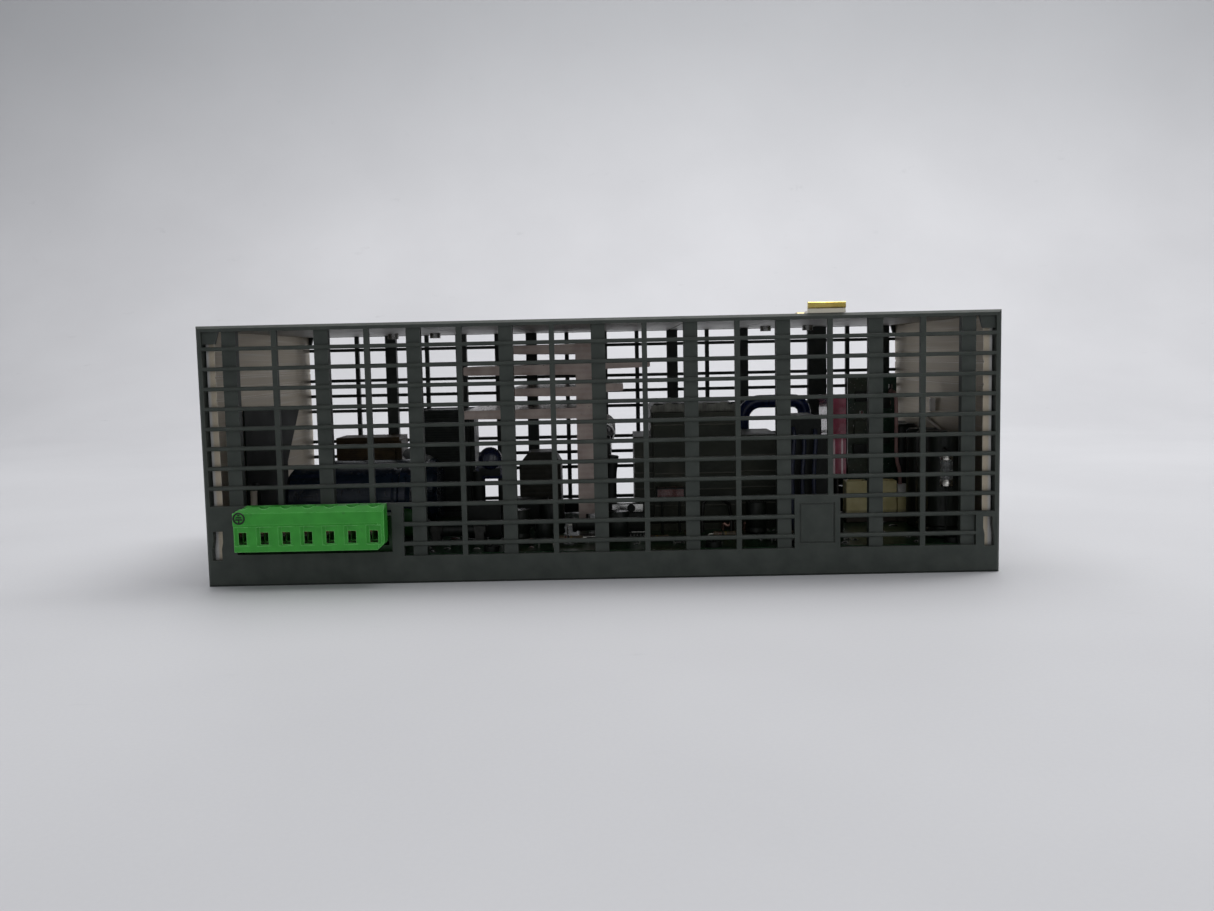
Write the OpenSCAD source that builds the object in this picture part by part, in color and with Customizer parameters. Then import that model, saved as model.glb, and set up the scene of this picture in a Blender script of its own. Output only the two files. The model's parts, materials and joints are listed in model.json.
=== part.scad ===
// DIN-rail power supply with a ventilated grille on each end, a plug-in input
// connector on one end and a plug-in output connector on the other.
// It lies on its front cover: X runs along the rail, Y from the input end to the
// output end, and Z from the front cover up to the rail side.
// The origin is the centre of the face it rests on.

/* [Housing] */
// Width along the rail
housing_w = 280; // [280:1:300]
// Distance between the two grille faces
housing_d = 125; // [125:1:140]
// Depth from the front cover to the rail side
housing_h = 92; // [92:1:110]
// Thickness of the plastic rim round each grille
rim_t = 1.9; // [1.5:0.1:1.9]
// Chamfer on the outer edges of the rim
rim_chamfer = 0.9; // [0.3:0.1:1.2]
// How far the side rims reach back over the side walls
rim_reach = 12; // [8:1:20]
// Thickness of the aluminium side walls
wall_t = 3; // [2:0.1:3.2]
// Thickness of the back panel and of the front cover
panel_t = 1.8; // [1.2:0.1:1.8]

/* [Grilles] */
// Distance between slats
slat_pitch = 7; // [6.8:0.1:7]
// Height of one slat
slat_t = 1.4; // [1:0.1:2]
// Depth of the slats and of the plain fields between them
slat_depth = 2.2; // [1.8:0.1:2.4]
// Number of slats
slat_count = 11; // [11:1:11]
// Distance between the wide uprights
bar_pitch = 32.25; // [31:0.25:32.5]
// Width of the wide uprights, which stand behind the slats
wide_bar_w = 4.9; // [3:0.1:6]
// Width of the narrow uprights between them
narrow_bar_w = 1.8; // [1:0.1:3]
// Height of the plain band along the front cover
band_h = 9.8; // [8:0.1:9.8]

/* [Connectors] */
// Distance between poles
pole_pitch = 7.62; // [7.5:0.01:8]
// Number of input poles
input_poles = 7; // [7:1:7]
// Number of output poles
output_poles = 4; // [4:1:4]
// How far each plug stands proud of its grille
plug_proud = 7.7; // [7:0.1:9]
// How far a clamp rises as its screw is tightened
clamp_travel = 3; // [2:0.5:3]

/* [Rail clip] */
// Width of the rail across its two edges
rail_w = 35; // [35:1:35]
// Thickness of the rail's edge
rail_t = 1; // [1:0.1:1.2]
// Distance of the clip's centre line from the left side
clip_x = 219.6; // [200:0.1:230]
// Width of the sliding latch
latch_w = 13.1; // [12:0.1:16]
// How far the latch is pulled out to free the rail
latch_travel = 4.5; // [3:0.5:4.5]

/* [Circuit board] */
// Height of the spacers that carry the circuit board
spacer_h = 6.2; // [5:0.1:6.2]
// Thickness of the circuit board
board_t = 1.6; // [1.2:0.1:2]

/* [Hidden] */
$fn = 40;

// Gap between neighbours that don't move against each other
seat_gap = 0.1;
// Depth of the short lips above and below the slats
lip_d = 2.7;
// Where the side walls, back panel and front cover begin behind each grille face
shell_y = 2.8;
board_z = panel_t + spacer_h;
board_top = board_z + board_t;
rail_mid_y = housing_d / 2;
// Heights of the walls' outward step, which the corner slots show
step_low = 13.5;
step_high = 17;
step_out = 0.5;
// Where the wide uprights stand behind the slats, and where all uprights end
upright_y = [1.3, 4.6];
upright_top = housing_h - panel_t - seat_gap;
// Where the side walls' screws stand along Y, and how far they are from the side
wall_screws = [20, housing_d / 2, housing_d - 20];
wall_screw_x = 4;

// Hooks: their middles along the rail, where their lips' web begins, their rivets
hook_places = [60, clip_x];
hook_y = rail_mid_y + rail_w / 2 + 0.3;
hook_rivets = [-9, 9];
// Studs that the latch slides on
stud_places = [8.2, 33];
// Width of the latch behind its tab, and where its spring rests on the guide's stop
arm_w = 6.4;
spring_seat = 17.2;

// Spacers under the circuit board, the trimmer and the status light, from above
spacer_places = [
    [10, 24], [100, 8], [180, 8], [266, 8],
    [10, 117], [96, 117], [166, 117], [268, 117]
];
trimmer_at = [250, 104];
light_at = [262, 104];
// Screws of the power transistors, along the heat sink
heat_sink_holes = [58, 76, 94, 111];

// Connectors: left faces, heights of the plug, pins and clamps, margins beside the poles
input_x = 12.4;
output_x = 62.8;
plug_h0 = 13.5;
plug_h1 = 28.9;
pin_z = 17.5;
clamp_y = -3.5;
end_margins = [2.85, 3.45];

// ---- Placing --------------------------------------------------------------

// Moves to a point measured from the left side, the input face and the rest face
module at(x, y, z) {
    translate([x - housing_w / 2, y - housing_d / 2, z]) children();
}

// A block given by its limits, in the same measures
module block(xs, ys, zs) {
    at(xs[0], ys[0], zs[0]) cube([xs[1] - xs[0], ys[1] - ys[0], zs[1] - zs[0]]);
}

// An upright rod
module rod_z(x, y, zs, r) {
    at(x, y, zs[0]) cylinder(h = zs[1] - zs[0], r = r);
}

// An outline drawn in Y and Z, drawn out along X
module along_x(xs, outline) {
    at(xs[0], 0, 0) rotate([90, 0, 90]) linear_extrude(xs[1] - xs[0]) polygon(outline);
}

// An outline drawn in X and Z, drawn out along Y
module along_y(ys, outline) {
    at(0, ys[1], 0) rotate([90, 0, 0]) linear_extrude(ys[1] - ys[0]) polygon(outline);
}

// An outline drawn in X and Y, drawn out along Z
module along_z(zs, outline) {
    at(0, 0, zs[0]) linear_extrude(zs[1] - zs[0]) polygon(outline);
}

// Turns the input end's own measures round to the output end
module output_side() {
    rotate([0, 0, 180]) children();
}

// ---- End grilles ----------------------------------------------------------

// Rim with chamfered outer edges, long at the sides and short above and below
module rim() {
    c = rim_chamfer;
    w = housing_w;
    h = housing_h;
    difference() {
        intersection() {
            along_x([0, w], [[c, 0], [rim_reach, 0], [rim_reach, h], [c, h], [0, h - c], [0, c]]);
            along_z([0, h], [[c, 0], [w - c, 0], [w, c], [w, rim_reach], [0, rim_reach], [0, c]]);
        }
        block([rim_t, w - rim_t], [-1, rim_reach + 1], [2, h - 2]);
        block([rim_t, w - rim_t], [lip_d, rim_reach + 1], [-1, h + 1]);
    }
}

// One slat with a chamfered nose
module slat(z) {
    c = 0.35;
    z0 = z - slat_t / 2;
    z1 = z + slat_t / 2;
    along_x([rim_t - 0.3, housing_w - rim_t + 0.3],
        [[c, z0], [slat_depth, z0], [slat_depth, z1], [c, z1], [0, z1 - c], [0, z0 + c]]);
}

module slats() {
    for (i = [1 : slat_count]) slat(housing_h - 1 - i * slat_pitch);
}

// Wide uprights behind the slats and narrow ones flush with them
module uprights() {
    for (i = [-4 : 4]) {
        x = housing_w / 2 + i * bar_pitch;
        block([x - wide_bar_w / 2, x + wide_bar_w / 2], upright_y, [band_h - 1, upright_top]);
    }
    for (i = [-3.5 : 3.5]) {
        x = housing_w / 2 + i * bar_pitch;
        block([x - narrow_bar_w / 2, x + narrow_bar_w / 2], [0.15, slat_depth], [band_h - 1, upright_top]);
    }
}

// Plain field that fills the lower slat gaps between two distances
module field(xs) {
    block(xs, [0, slat_depth], [1, housing_h - 63.5]);
}

// Corner piece beside each slot, below the second slat from the bottom
module slot_field() {
    block([rim_t - 0.3, 8.4], [0, slat_depth], [1, housing_h - 71]);
}

// Stepped slot that follows the side wall's profile
module corner_slot() {
    along_y([-1, slat_depth + 1], [
        [2.6, 19.8], [5.9, 19.8], [5.9, 16], [5.4, 13.5],
        [5.4, 9.4], [1.95, 9.4], [1.95, 13.4], [2.6, 16.6]
    ]);
}

// Slanted lug that closes each upper corner behind the slats
module corner_lug() {
    along_y([1.2, lip_d], [[rim_t - 0.2, 90.5], [7.6, 90.5], [6.2, 85.7], [rim_t - 0.2, 85.7]]);
}

module both_sides() {
    children();
    mirror([1, 0, 0]) children();
}

// Opening that a connector passes through, cut deeper behind the slats for its header
module cutout(xs) {
    block(xs, [-1, rim_reach], [11.3, 26.4]);
    block(xs, [slat_depth, rim_reach], [4, 26.4]);
}

module grille_body() {
    rim();
    block([rim_t - 0.3, housing_w - rim_t + 0.3], [0, slat_depth], [0.8, band_h]);
    slats();
    uprights();
    both_sides() slot_field();
    both_sides() corner_lug();
}

// Recess of the framed blank field, with a slightly raised panel in it
module window_recess() {
    difference() {
        block([209.5, 222.1], [-1, 0.7], [11.5, 25.9]);
        block([210.2, 221.4], [0.35, slat_depth], [12.2, 25.2]);
    }
}

module input_end_grille() color("#343832") {
    difference() {
        union() {
            grille_body();
            field([rim_t - 0.3, 70]);
            block([207.9, 223.9], [0, slat_depth], [9, housing_h - 64]);
        }
        cutout([10.8, 65.9]);
        both_sides() corner_slot();
        window_recess();
    }
}

module output_end_grille() color("#343832") output_side() {
    difference() {
        union() {
            grille_body();
            field([24, 104]);
            block([37.3, 45.6], upright_y, [band_h - 1, upright_top]);
        }
        cutout([60, 99.2]);
        both_sides() corner_slot();
    }
}

// ---- Aluminium shell ------------------------------------------------------

// Side wall: it steps outwards near the front cover and has shallow grooves inside
module side_wall() {
    x = 2.5;
    z0 = panel_t + seat_gap;
    z1 = housing_h - panel_t - seat_gap;
    difference() {
        along_y([shell_y, housing_d - shell_y], [
            [x - step_out, z0], [x - step_out + wall_t, z0],
            [x - step_out + wall_t, step_low], [x + wall_t, step_high],
            [x + wall_t, z1], [x, z1], [x, step_high], [x - step_out, step_low]
        ]);
        for (z = [66, 70, 74])
            block([x + wall_t - 0.3, x + wall_t + 1], [0, housing_d], [z - 0.4, z + 0.4]);
        for (y = wall_screws) rod_z(wall_screw_x, y, [z1 - 8, z1 + 1], 1.25);
    }
}

module left_side_wall() color("#9a9284") side_wall();

module right_side_wall() color("#9a9284") mirror([1, 0, 0]) side_wall();

// Sunk plate under the latch; it is grown by a gap to cut its bay
module guide_plate(gap, height) {
    half = 7.15 + gap;
    y1 = rail_mid_y - rail_w / 2 - 0.3 + gap;
    block([clip_x - half, clip_x + half], [shell_y + 0.3 - gap * 4, y1],
        [housing_h - 0.6 - gap, housing_h - 0.6 + height]);
}

// Back panel with seams inside, holes for the housing screws and a bay for the guide
module back_panel() color("#9a9284") {
    z0 = housing_h - panel_t;
    difference() {
        block([2.1, housing_w - 2.1], [shell_y, housing_d - shell_y], [z0, housing_h]);
        for (x = [47 : 31 : 233])
            block([x - 0.4, x + 0.4], [0, housing_d], [z0 - 1, z0 + 0.4]);
        for (x = [wall_screw_x, housing_w - wall_screw_x], y = wall_screws) {
            rod_z(x, y, [z0 - 1, housing_h + 1], 1.3);
            at(x, y, housing_h - 1.1) cylinder(h = 1.2, r1 = 1.3, r2 = 2.5);
        }
        for (x = hook_places, dx = hook_rivets)
            rod_z(x + dx, hook_y + 9, [z0 - 1, housing_h + 1], 1.3);
        guide_plate(0.1, 1);
    }
}

// Front cover, which is the face the unit rests on here
module front_cover() color("#2c302c") {
    difference() {
        block([2.1, housing_w - 2.1], [shell_y, housing_d - shell_y], [0, panel_t]);
        rod_z(trimmer_at[0], trimmer_at[1], [-1, panel_t + 1], 1.9);
        rod_z(light_at[0], light_at[1], [-1, panel_t + 1], 1.65);
        for (p = spacer_places) {
            rod_z(p[0], p[1], [-1, panel_t + 1], 1.3);
            at(p[0], p[1], -0.01) cylinder(h = 1.2, r1 = 2.5, r2 = 1.3);
        }
    }
}

// Countersunk screws of the back panel and front cover, and the rivets of the hooks
module housing_screws() color("#b9bab6") {
    for (x = [wall_screw_x, housing_w - wall_screw_x], y = wall_screws) {
        difference() {
            at(x, y, housing_h - 1.1) cylinder(h = 1.1, r1 = 1.25, r2 = 2.4);
            at(x - 2, y - 0.25, housing_h - 0.4) cube([4, 0.5, 1]);
        }
        rod_z(x, y, [housing_h - 7, housing_h - 1.05], 1.2);
    }
    for (x = hook_places, dx = hook_rivets) {
        rod_z(x + dx, hook_y + 9, [housing_h - 4, housing_h + 1.5], 1.2);
        rod_z(x + dx, hook_y + 9, [housing_h + 1.5, housing_h + 2.3], 2.3);
        rod_z(x + dx, hook_y + 9, [housing_h - 4, housing_h - panel_t], 2.3);
    }
    for (p = spacer_places) {
        difference() {
            at(p[0], p[1], 0) cylinder(h = 1.1, r1 = 2.4, r2 = 1.25);
            at(p[0] - 2, p[1] - 0.25, -0.6) cube([4, 0.5, 1]);
        }
        rod_z(p[0], p[1], [1.05, panel_t + 2.4], 1.2);
    }
}

// ---- Rail clip ------------------------------------------------------------

// Two fixed hooks that grip the rail's far edge
module rail_hooks() color("#b9bab6") {
    edge = hook_y;
    z = housing_h;
    lip = rail_t + 0.3;
    for (x = hook_places) difference() {
        along_x([x - 15, x + 15], [
            [edge, z], [edge + 16, z], [edge + 16, z + 1.5], [edge + 2, z + 1.5],
            [edge + 2, z + lip + 1.3], [edge - 3, z + lip + 1.3], [edge - 3, z + lip], [edge, z + lip]
        ]);
        for (dx = hook_rivets) rod_z(x + dx, edge + 9, [z - 1, z + 3], 1.3);
    }
}

// Plate that the latch slides on, with two shouldered studs and a spring stop
module latch_guide() color("#c4c5c0") {
    z = housing_h;
    guide_plate(0, 0.55);
    for (y = stud_places) {
        rod_z(clip_x, y, [z - 0.1, z + 1.1], 1.4);
        rod_z(clip_x, y, [z + 1.05, z + 1.6], 2.2);
    }
    block([clip_x - 1.5, clip_x + 1.5], [spring_seat - 1, spring_seat], [z - 0.1, z + 2.6]);
}

// Yellow-plated latch: a slide with a hemmed pull tab, a spring window and a raised nose
module rail_latch() color("#b08d38") {
    z0 = housing_h + 0.1;
    z1 = z0 + 0.8;
    lift = rail_t + 0.05;
    edge = rail_mid_y - rail_w / 2;
    nose = edge + 2.5;
    slot_r = 1.5;
    push = spring_seat + 12;
    difference() {
        union() {
            block([clip_x - latch_w / 2, clip_x + latch_w / 2], [1.2, 6.2], [z0, z1]);
            along_x([clip_x - arm_w / 2, clip_x + arm_w / 2], [
                [6, z0], [edge - 2.7, z0], [edge - 1.1, z0 + lift], [nose, z0 + lift],
                [nose, z1 + lift], [edge - 1.5, z1 + lift], [edge - 3.1, z1], [6, z1]
            ]);
            // Pull tab, folded forward into a hem along its top
            along_x([clip_x - latch_w / 2, clip_x + latch_w / 2], [
                [1.2, z0], [2.4, z0], [2.4, housing_h + 3.6], [2.1, housing_h + 3.9],
                [0.9, housing_h + 3.9], [0.6, housing_h + 3.6], [0.6, housing_h + 2], [1.2, housing_h + 1.6]
            ]);
            // Upturned lug that the spring pushes on
            block([clip_x - 1.7, clip_x + 1.7], [push, push + 0.8], [z0, housing_h + 2.6]);
        }
        for (y = stud_places) {
            rod_z(clip_x, y - 0.2, [z0 - 1, z1 + 1], slot_r);
            rod_z(clip_x, y + latch_travel + 0.2, [z0 - 1, z1 + 1], slot_r);
            block([clip_x - slot_r, clip_x + slot_r], [y - 0.2, y + latch_travel + 0.2], [z0 - 1, z1 + 1]);
        }
        block([clip_x - 1.75, clip_x + 1.75], [spring_seat - 1.6, push], [z0 - 1, z1 + 1]);
        block([clip_x - 2.6, clip_x + 2.6], [3.4, 4.8], [z0 - 1, z1 + 0.1]);
    }
}

// Compression spring between the guide's stop and the latch: a wire swept along a helix
module latch_spring() color("#a8aaa8") {
    turns = 7;
    length = 11.1;
    coil_r = 1.1;
    wire_r = 0.26;
    steps = 14 * turns;
    sides = 8;
    points = [
        for (i = [0 : steps], j = [0 : sides - 1])
            let (a = 360 * turns * i / steps, b = 360 * j / sides, r = coil_r + wire_r * cos(b))
            [r * cos(a), length * i / steps + wire_r * sin(b), r * sin(a)]
    ];
    walls = [
        for (i = [0 : steps - 1], j = [0 : sides - 1])
            let (k = (j + 1) % sides, p = i * sides, q = p + sides)
            [p + j, q + j, q + k, p + k]
    ];
    first = [for (j = [0 : sides - 1]) j];
    last = [for (j = [sides - 1 : -1 : 0]) steps * sides + j];
    at(clip_x, spring_seat + 0.45, housing_h + 1.5)
        polyhedron(points, concat(walls, [first, last]), convexity = 10);
}

// ---- Circuit board --------------------------------------------------------

module main_board() color("#1f3a24") {
    difference() {
        block([5.6, housing_w - 5.6], [5, housing_d - 5], [board_z, board_top]);
        for (p = spacer_places) rod_z(p[0], p[1], [board_z - 1, board_top + 1], 1.6);
    }
}

// Six-sided spacers between the front cover and the board
module board_spacers() color("#c9b069") {
    for (p = spacer_places) difference() {
        at(p[0], p[1], panel_t) cylinder(h = spacer_h, r = 3.1, $fn = 6);
        rod_z(p[0], p[1], [panel_t - 1, board_top], 1.3);
    }
}

// Pan-head screws that hold the board down
module board_screws() color("#b9bab6") {
    for (p = spacer_places) {
        difference() {
            rod_z(p[0], p[1], [board_top, board_top + 2], 2.8);
            at(p[0] - 2, p[1] - 0.3, board_top + 1.2) cube([4, 0.6, 2]);
            at(p[0] - 0.3, p[1] - 2, board_top + 1.2) cube([0.6, 4, 2]);
        }
        rod_z(p[0], p[1], [panel_t + 2.6, board_top + 0.1], 1.2);
    }
}

// ---- Plug-in connectors, drawn at the input end ---------------------------
// x0 is the distance from the side to the connector's left face.

function pole_x(x0, i) = x0 + end_margins[0] + i * pole_pitch;
function plug_w(poles) = end_margins[0] + end_margins[1] + (poles - 1) * pole_pitch;

// Board header: an open shroud that guides the plug's nose
module header(x0, poles) {
    x1 = x0 + plug_w(poles);
    difference() {
        block([x0 - 0.6, x1 + 0.6], [5.2, 14.4], [board_top, 23.6]);
        block([x0 + 0.7, x1 - 0.7], [4, 12.7], [plug_h0 - 0.6, 22.1]);
        for (i = [0 : poles - 1])
            block([pole_x(x0, i) - 0.6, pole_x(x0, i) + 0.6], [12, 15], [pin_z - 0.6, pin_z + 0.6]);
    }
}

// Square pins: forward into the plug, and down through the board behind it
module pins(x0, poles) {
    for (i = [0 : poles - 1]) {
        x = pole_x(x0, i);
        block([x - 0.5, x + 0.5], [4.5, 16.4], [pin_z - 0.5, pin_z + 0.5]);
        block([x - 0.5, x + 0.5], [15.4, 16.4], [board_top, pin_z]);
    }
}

// Room for one clamp, its screw, the wire and the contact
module pole_room(x) {
    front = -plug_proud;
    block([x - 2.8, x + 2.8], [-5.9, -1.1], [14.8, 25.7]);
    block([x - 1.5, x + 1.5], [front - 1, -5.5], [16, 20.3]);
    block([x - 1.6, x + 1.6], [-2, 13], [16.2, 21.2]);
    rod_z(x, clamp_y, [25.5, 27], 1.7);
    rod_z(x, clamp_y, [26.1, plug_h1 + 1], 2.6);
    // Face round the wire entry, which slants in from the right to a step at its left
    along_z([15.6, 22.2], [
        [x - 2.7, front - 1], [x + 2.7, front - 1], [x + 2.7, front + 0.5],
        [x - 1.6, front + 1.4], [x - 2.7, front + 0.4]
    ]);
}

// Plug body: a tall front with the screws, and a nose that enters the header
module plug(x0, poles) {
    x1 = x0 + plug_w(poles);
    front = -plug_proud;
    difference() {
        union() {
            // Front block, cut at its upper left and lower right corners
            along_y([front, -0.3], [
                [x0, plug_h0], [x1 - 2.2, plug_h0], [x1, plug_h0 + 2], [x1, plug_h1],
                [x0 + 2.9, plug_h1], [x0, plug_h1 - 1.8]
            ]);
            // Nose, cut at the same lower corner
            along_y([-0.5, 12.2], [
                [x0 + 1.1, plug_h0], [x1 - 3, plug_h0], [x1 - 1.1, plug_h0 + 2.2],
                [x1 - 1.1, 21.7], [x0 + 1.1, 21.7]
            ]);
            // Raised rib down the right end
            along_y([front - 0.01, -2], [
                [x1 - 0.2, plug_h0 + 2], [x1 + 0.4, plug_h0 + 2.6],
                [x1 + 0.4, plug_h1 - 1], [x1 - 0.2, plug_h1]
            ]);
        }
        for (i = [0 : poles - 1]) pole_room(pole_x(x0, i));
        // Lower face set back below the plain upper band
        along_x([x0 - 0.5, x1 - 1.8], [
            [front - 1, plug_h0 - 1], [front + 0.5, plug_h0 - 1],
            [front + 0.5, 22.3], [front, 23], [front - 1, 23]
        ]);
        // Sloping top front edge, which the screw holes break into
        along_x([x0 - 1, x1 + 1], [
            [front - 1, plug_h1 + 1], [front - 1, plug_h1 - 1.8], [front, plug_h1 - 1.8],
            [front + 0.6, plug_h1 - 1.4], [front + 2.3, plug_h1], [front + 2.3, plug_h1 + 1]
        ]);
    }
}

// Flat contacts from the clamps back to the pins
module contacts(x0, poles) {
    for (i = [0 : poles - 1]) {
        x = pole_x(x0, i);
        block([x - 1.3, x + 1.3], [-5.6, 11.5], [20.5, 21.1]);
        block([x - 1.3, x + 1.3], [3.5, 9.5], [18.3, 20.6]);
    }
}

// Slotted clamping screw with its head in the plug's top
module clamp_screw(x0, i) {
    x = pole_x(x0, i);
    difference() {
        rod_z(x, clamp_y, [26.2, 27.6], 2.4);
        at(x - 3, clamp_y - 0.35, 26.9) cube([6, 0.7, 2]);
    }
    rod_z(x, clamp_y, [21.4, 26.3], 1.5);
}

// Clamp: a steel loop that rises round the wire as the screw turns
module clamp_cage(x0, i) {
    x = pole_x(x0, i);
    difference() {
        block([x - 2.5, x + 2.5], [clamp_y - 2.1, clamp_y + 2.1], [15.1, 22.6]);
        block([x - 1.75, x + 1.75], [clamp_y - 3, clamp_y + 3], [15.9, 21.5]);
        rod_z(x, clamp_y, [21, 24], 1.55);
    }
}

module input_header() color("#2f7d36") header(input_x, input_poles);

module output_header() color("#2f7d36") output_side() header(output_x, output_poles);

module header_pins() color("#c2c0b4") {
    pins(input_x, input_poles);
    output_side() pins(output_x, output_poles);
}

module input_plug() color("#30963a") plug(input_x, input_poles);

module output_plug() color("#30963a") output_side() plug(output_x, output_poles);

module input_plug_contacts() color("#b07a4a") contacts(input_x, input_poles);

module output_plug_contacts() color("#b07a4a") output_side() contacts(output_x, output_poles);

module input_screw(i) color("#b9bab6") clamp_screw(input_x, i - 1);

module input_clamp(i) color("#a9a79e") clamp_cage(input_x, i - 1);

module output_screw(i) color("#b9bab6") output_side() clamp_screw(output_x, i - 1);

module output_clamp(i) color("#a9a79e") output_side() clamp_cage(output_x, i - 1);

// ---- Parts on the circuit board -------------------------------------------

// Lying can with rounded ends, a crimp groove and two leads
module lying_can(x, y, length, r) {
    edge = 1.6;
    z = board_top + r + 0.3;
    at(x, y, z) rotate([0, 90, 0]) rotate_extrude() polygon([
        [0, 0], [r - edge, 0], [r, edge], [r, length - 7], [r - 0.8, length - 6],
        [r - 0.8, length - 5], [r, length - 4], [r, length - edge], [r - edge, length], [0, length]
    ]);
    for (dy = [-5, 5]) {
        at(x - 3, y + dy, z) rotate([0, 90, 0]) cylinder(h = 3.5, r = 0.7);
        rod_z(x - 3, y + dy, [board_top, z], 0.7);
    }
}

module bulk_capacitors() color("#1b2a4a") {
    lying_can(16, 53, 48.5, 13.5);
    lying_can(22, 82, 48.5, 13.5);
}

// Wound part: a bobbin base, a core and a winding that stands proud of it
module wound_block(xs, ys, height, core_inset, wind_inset) {
    z = board_top;
    block(xs, ys, [z, z + 2.4]);
    block([xs[0] + core_inset, xs[1] - core_inset], [ys[0] + wind_inset, ys[1] - wind_inset],
        [z + 2.3, z + height]);
    block([xs[0] + wind_inset, xs[1] - wind_inset], [ys[0] + core_inset, ys[1] - core_inset],
        [z + 4, z + height - 3]);
}

module input_choke() color("#5a3a28") {
    wound_block([21, 51], [98, 119], 34, 0.5, 3);
    block([22, 50], [99, 118], [board_top + 33.9, 45.2]);
}

module pfc_choke() color("#20241f") wound_block([59.7, 84], [98, 119], 47, 1, 3);

// Small transformer with a sloping shoulder on each side of its top
module standby_transformer() color("#34352f") {
    along_y([87, 105], [
        [103.7, board_top], [121.5, board_top], [121.5, 33.2], [118.5, 38.2], [107.8, 38.2], [103.7, 33.2]
    ]);
}

// Fins of the heat sink, thicker where they join its web
module left_fin(x0, z0, z1) {
    x1 = 130.6;
    root = 0.5;
    along_y([49, 118], [
        [x0, z0 + 0.3], [x0 + 0.4, z0], [x1, z0 - root],
        [x1, z1 + root], [x0 + 0.4, z1], [x0, z1 - 0.3]
    ]);
}

module right_fin(x1, z0, z1) {
    x0 = 138;
    root = 0.5;
    along_y([49, 118], [
        [x0, z0 - root], [x1 - 0.4, z0], [x1, z0 + 0.3],
        [x1, z1 - 0.3], [x1 - 0.4, z1], [x0, z1 + root]
    ]);
}

// Finned heat sink: an upright web with long and short fins, on two feet
module heat_sink() color("#7c6a62") {
    difference() {
        block([130.3, 138.4], [49, 118], [16.4, 84]);
        for (y = heat_sink_holes) at(125, y, 41) rotate([0, 90, 0]) cylinder(h = 20, r = 1.6);
    }
    left_fin(102.9, 80.4, 83.4);
    left_fin(86.2, 72.2, 75.6);
    left_fin(102.9, 63.8, 66.6);
    left_fin(85.4, 55, 58.3);
    right_fin(159.6, 74.2, 76.8);
    right_fin(148.9, 65.1, 67.8);
    for (y = [49, 108]) block([130.3, 133.1], [y, y + 10], [board_top, 16.5]);
}

// Flat power transistors on the web, each with three leads and a fixing screw
module power_transistors() color("#1e1f1e") {
    for (y = heat_sink_holes) {
        difference() {
            block([138.5, 143.3], [y - 7.6, y + 7.6], [26, 46.8]);
            at(141.6, y, 41) rotate([0, 90, 0]) cylinder(h = 4, r = 3);
            at(138, y, 41) rotate([0, 90, 0]) cylinder(h = 6, r = 1.5);
        }
        for (dy = [-5.4, 0, 5.4]) block([140.4, 141.2], [y + dy - 0.6, y + dy + 0.6], [board_top, 26.1]);
    }
}

// Main transformer: ferrite core, wound bobbin above it and a pin base below
module main_transformer() color("#2a2b27") {
    block([150, 211], [47, 91], [board_top, board_top + 2.6]);
    block([152.8, 210.2], [52, 86], [board_top + 2.5, 46.5]);
    block([160.5, 192.5], [48, 90], [board_top + 4, 56]);
    along_y([50, 88], [[159.5, 46], [193.2, 46], [193.2, 57], [191.5, 59.6], [161, 59.6], [159.5, 57.5]]);
}

module output_choke() color("#1d2224") {
    along_y([38, 61], [
        [212, board_top], [227.8, board_top], [227.8, 44.5], [224.7, 46.5], [224.7, 53],
        [223.4, 54.3], [213.3, 54.3], [212, 53]
    ]);
}

// Quarter bend of the link, from a leg at x up to the level top
module link_bend(x, y, top, bend_r, wire_r, turned) {
    at(x, y, top - bend_r) rotate([90, 0, 0]) rotate([0, turned ? 180 : 0, 0])
        translate([-bend_r, 0, 0]) rotate_extrude(angle = 90) translate([bend_r, 0]) circle(r = wire_r);
}

// Thick insulated link that arches over the board
module link_wire() color("#1c2a4e") {
    r = 2.9;
    x0 = 202;
    x1 = 229.3;
    y = 103;
    top = 57.4;
    bend0 = 8;
    bend1 = 5;
    link_bend(x0, y, top, bend0, r, true);
    link_bend(x1, y, top, bend1, r, false);
    at(x0 + bend0 - 0.01, y, top) rotate([0, 90, 0]) cylinder(h = x1 - x0 - bend0 - bend1 + 0.02, r = r);
    rod_z(x0, y, [board_top, top - bend0 + 0.01], r);
    rod_z(x1, y, [board_top, top - bend1 + 0.01], r);
}

module film_capacitor() color("#9a4550") {
    block([229, 234.5], [40, 66], [30, 61.5]);
    for (y = [43, 63]) rod_z(231.7, y, [board_top, 30.1], 0.5);
}

// Upright circuit board with its parts facing the input end
module control_board() color("#22382a") {
    block([241.5, 261.5], [69.4, 71], [board_top, 69]);
    block([244, 252], [68, 69.5], [44, 50]);
    block([254, 259], [68.2, 69.5], [30, 36]);
}

module control_headers() color("#cdbf95") {
    for (h = [[238.2, 247, 26.4], [251.8, 258.5, 26.4], [258.9, 265.9, 19.6]]) difference() {
        block([h[0], h[1]], [57, 64], [board_top, h[2]]);
        block([h[0] + 1, h[1] - 1], [58, 63], [h[2] - 8, h[2] + 1]);
    }
}

module output_capacitors() color("#20222a") {
    r = 6.2;
    for (y = [20, 34, 48, 79, 93, 107])
        at(266.2, y, board_top) rotate_extrude() polygon([
            [0, 0], [r - 0.8, 0], [r, 0.8], [r, 3], [r - 0.5, 3.6], [r - 0.5, 4.2], [r, 4.8],
            [r, 37.4], [r - 1, 38.4], [0, 38.4]
        ]);
}

// Thin sheet between the capacitors and the left wall, cut at a slant
module insulating_sheet() color("#161a18") {
    along_x([8.4, 9], [[20, 12], [70, 12], [70, 38], [90.4, 59.8], [20, 62.6]]);
}

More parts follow.
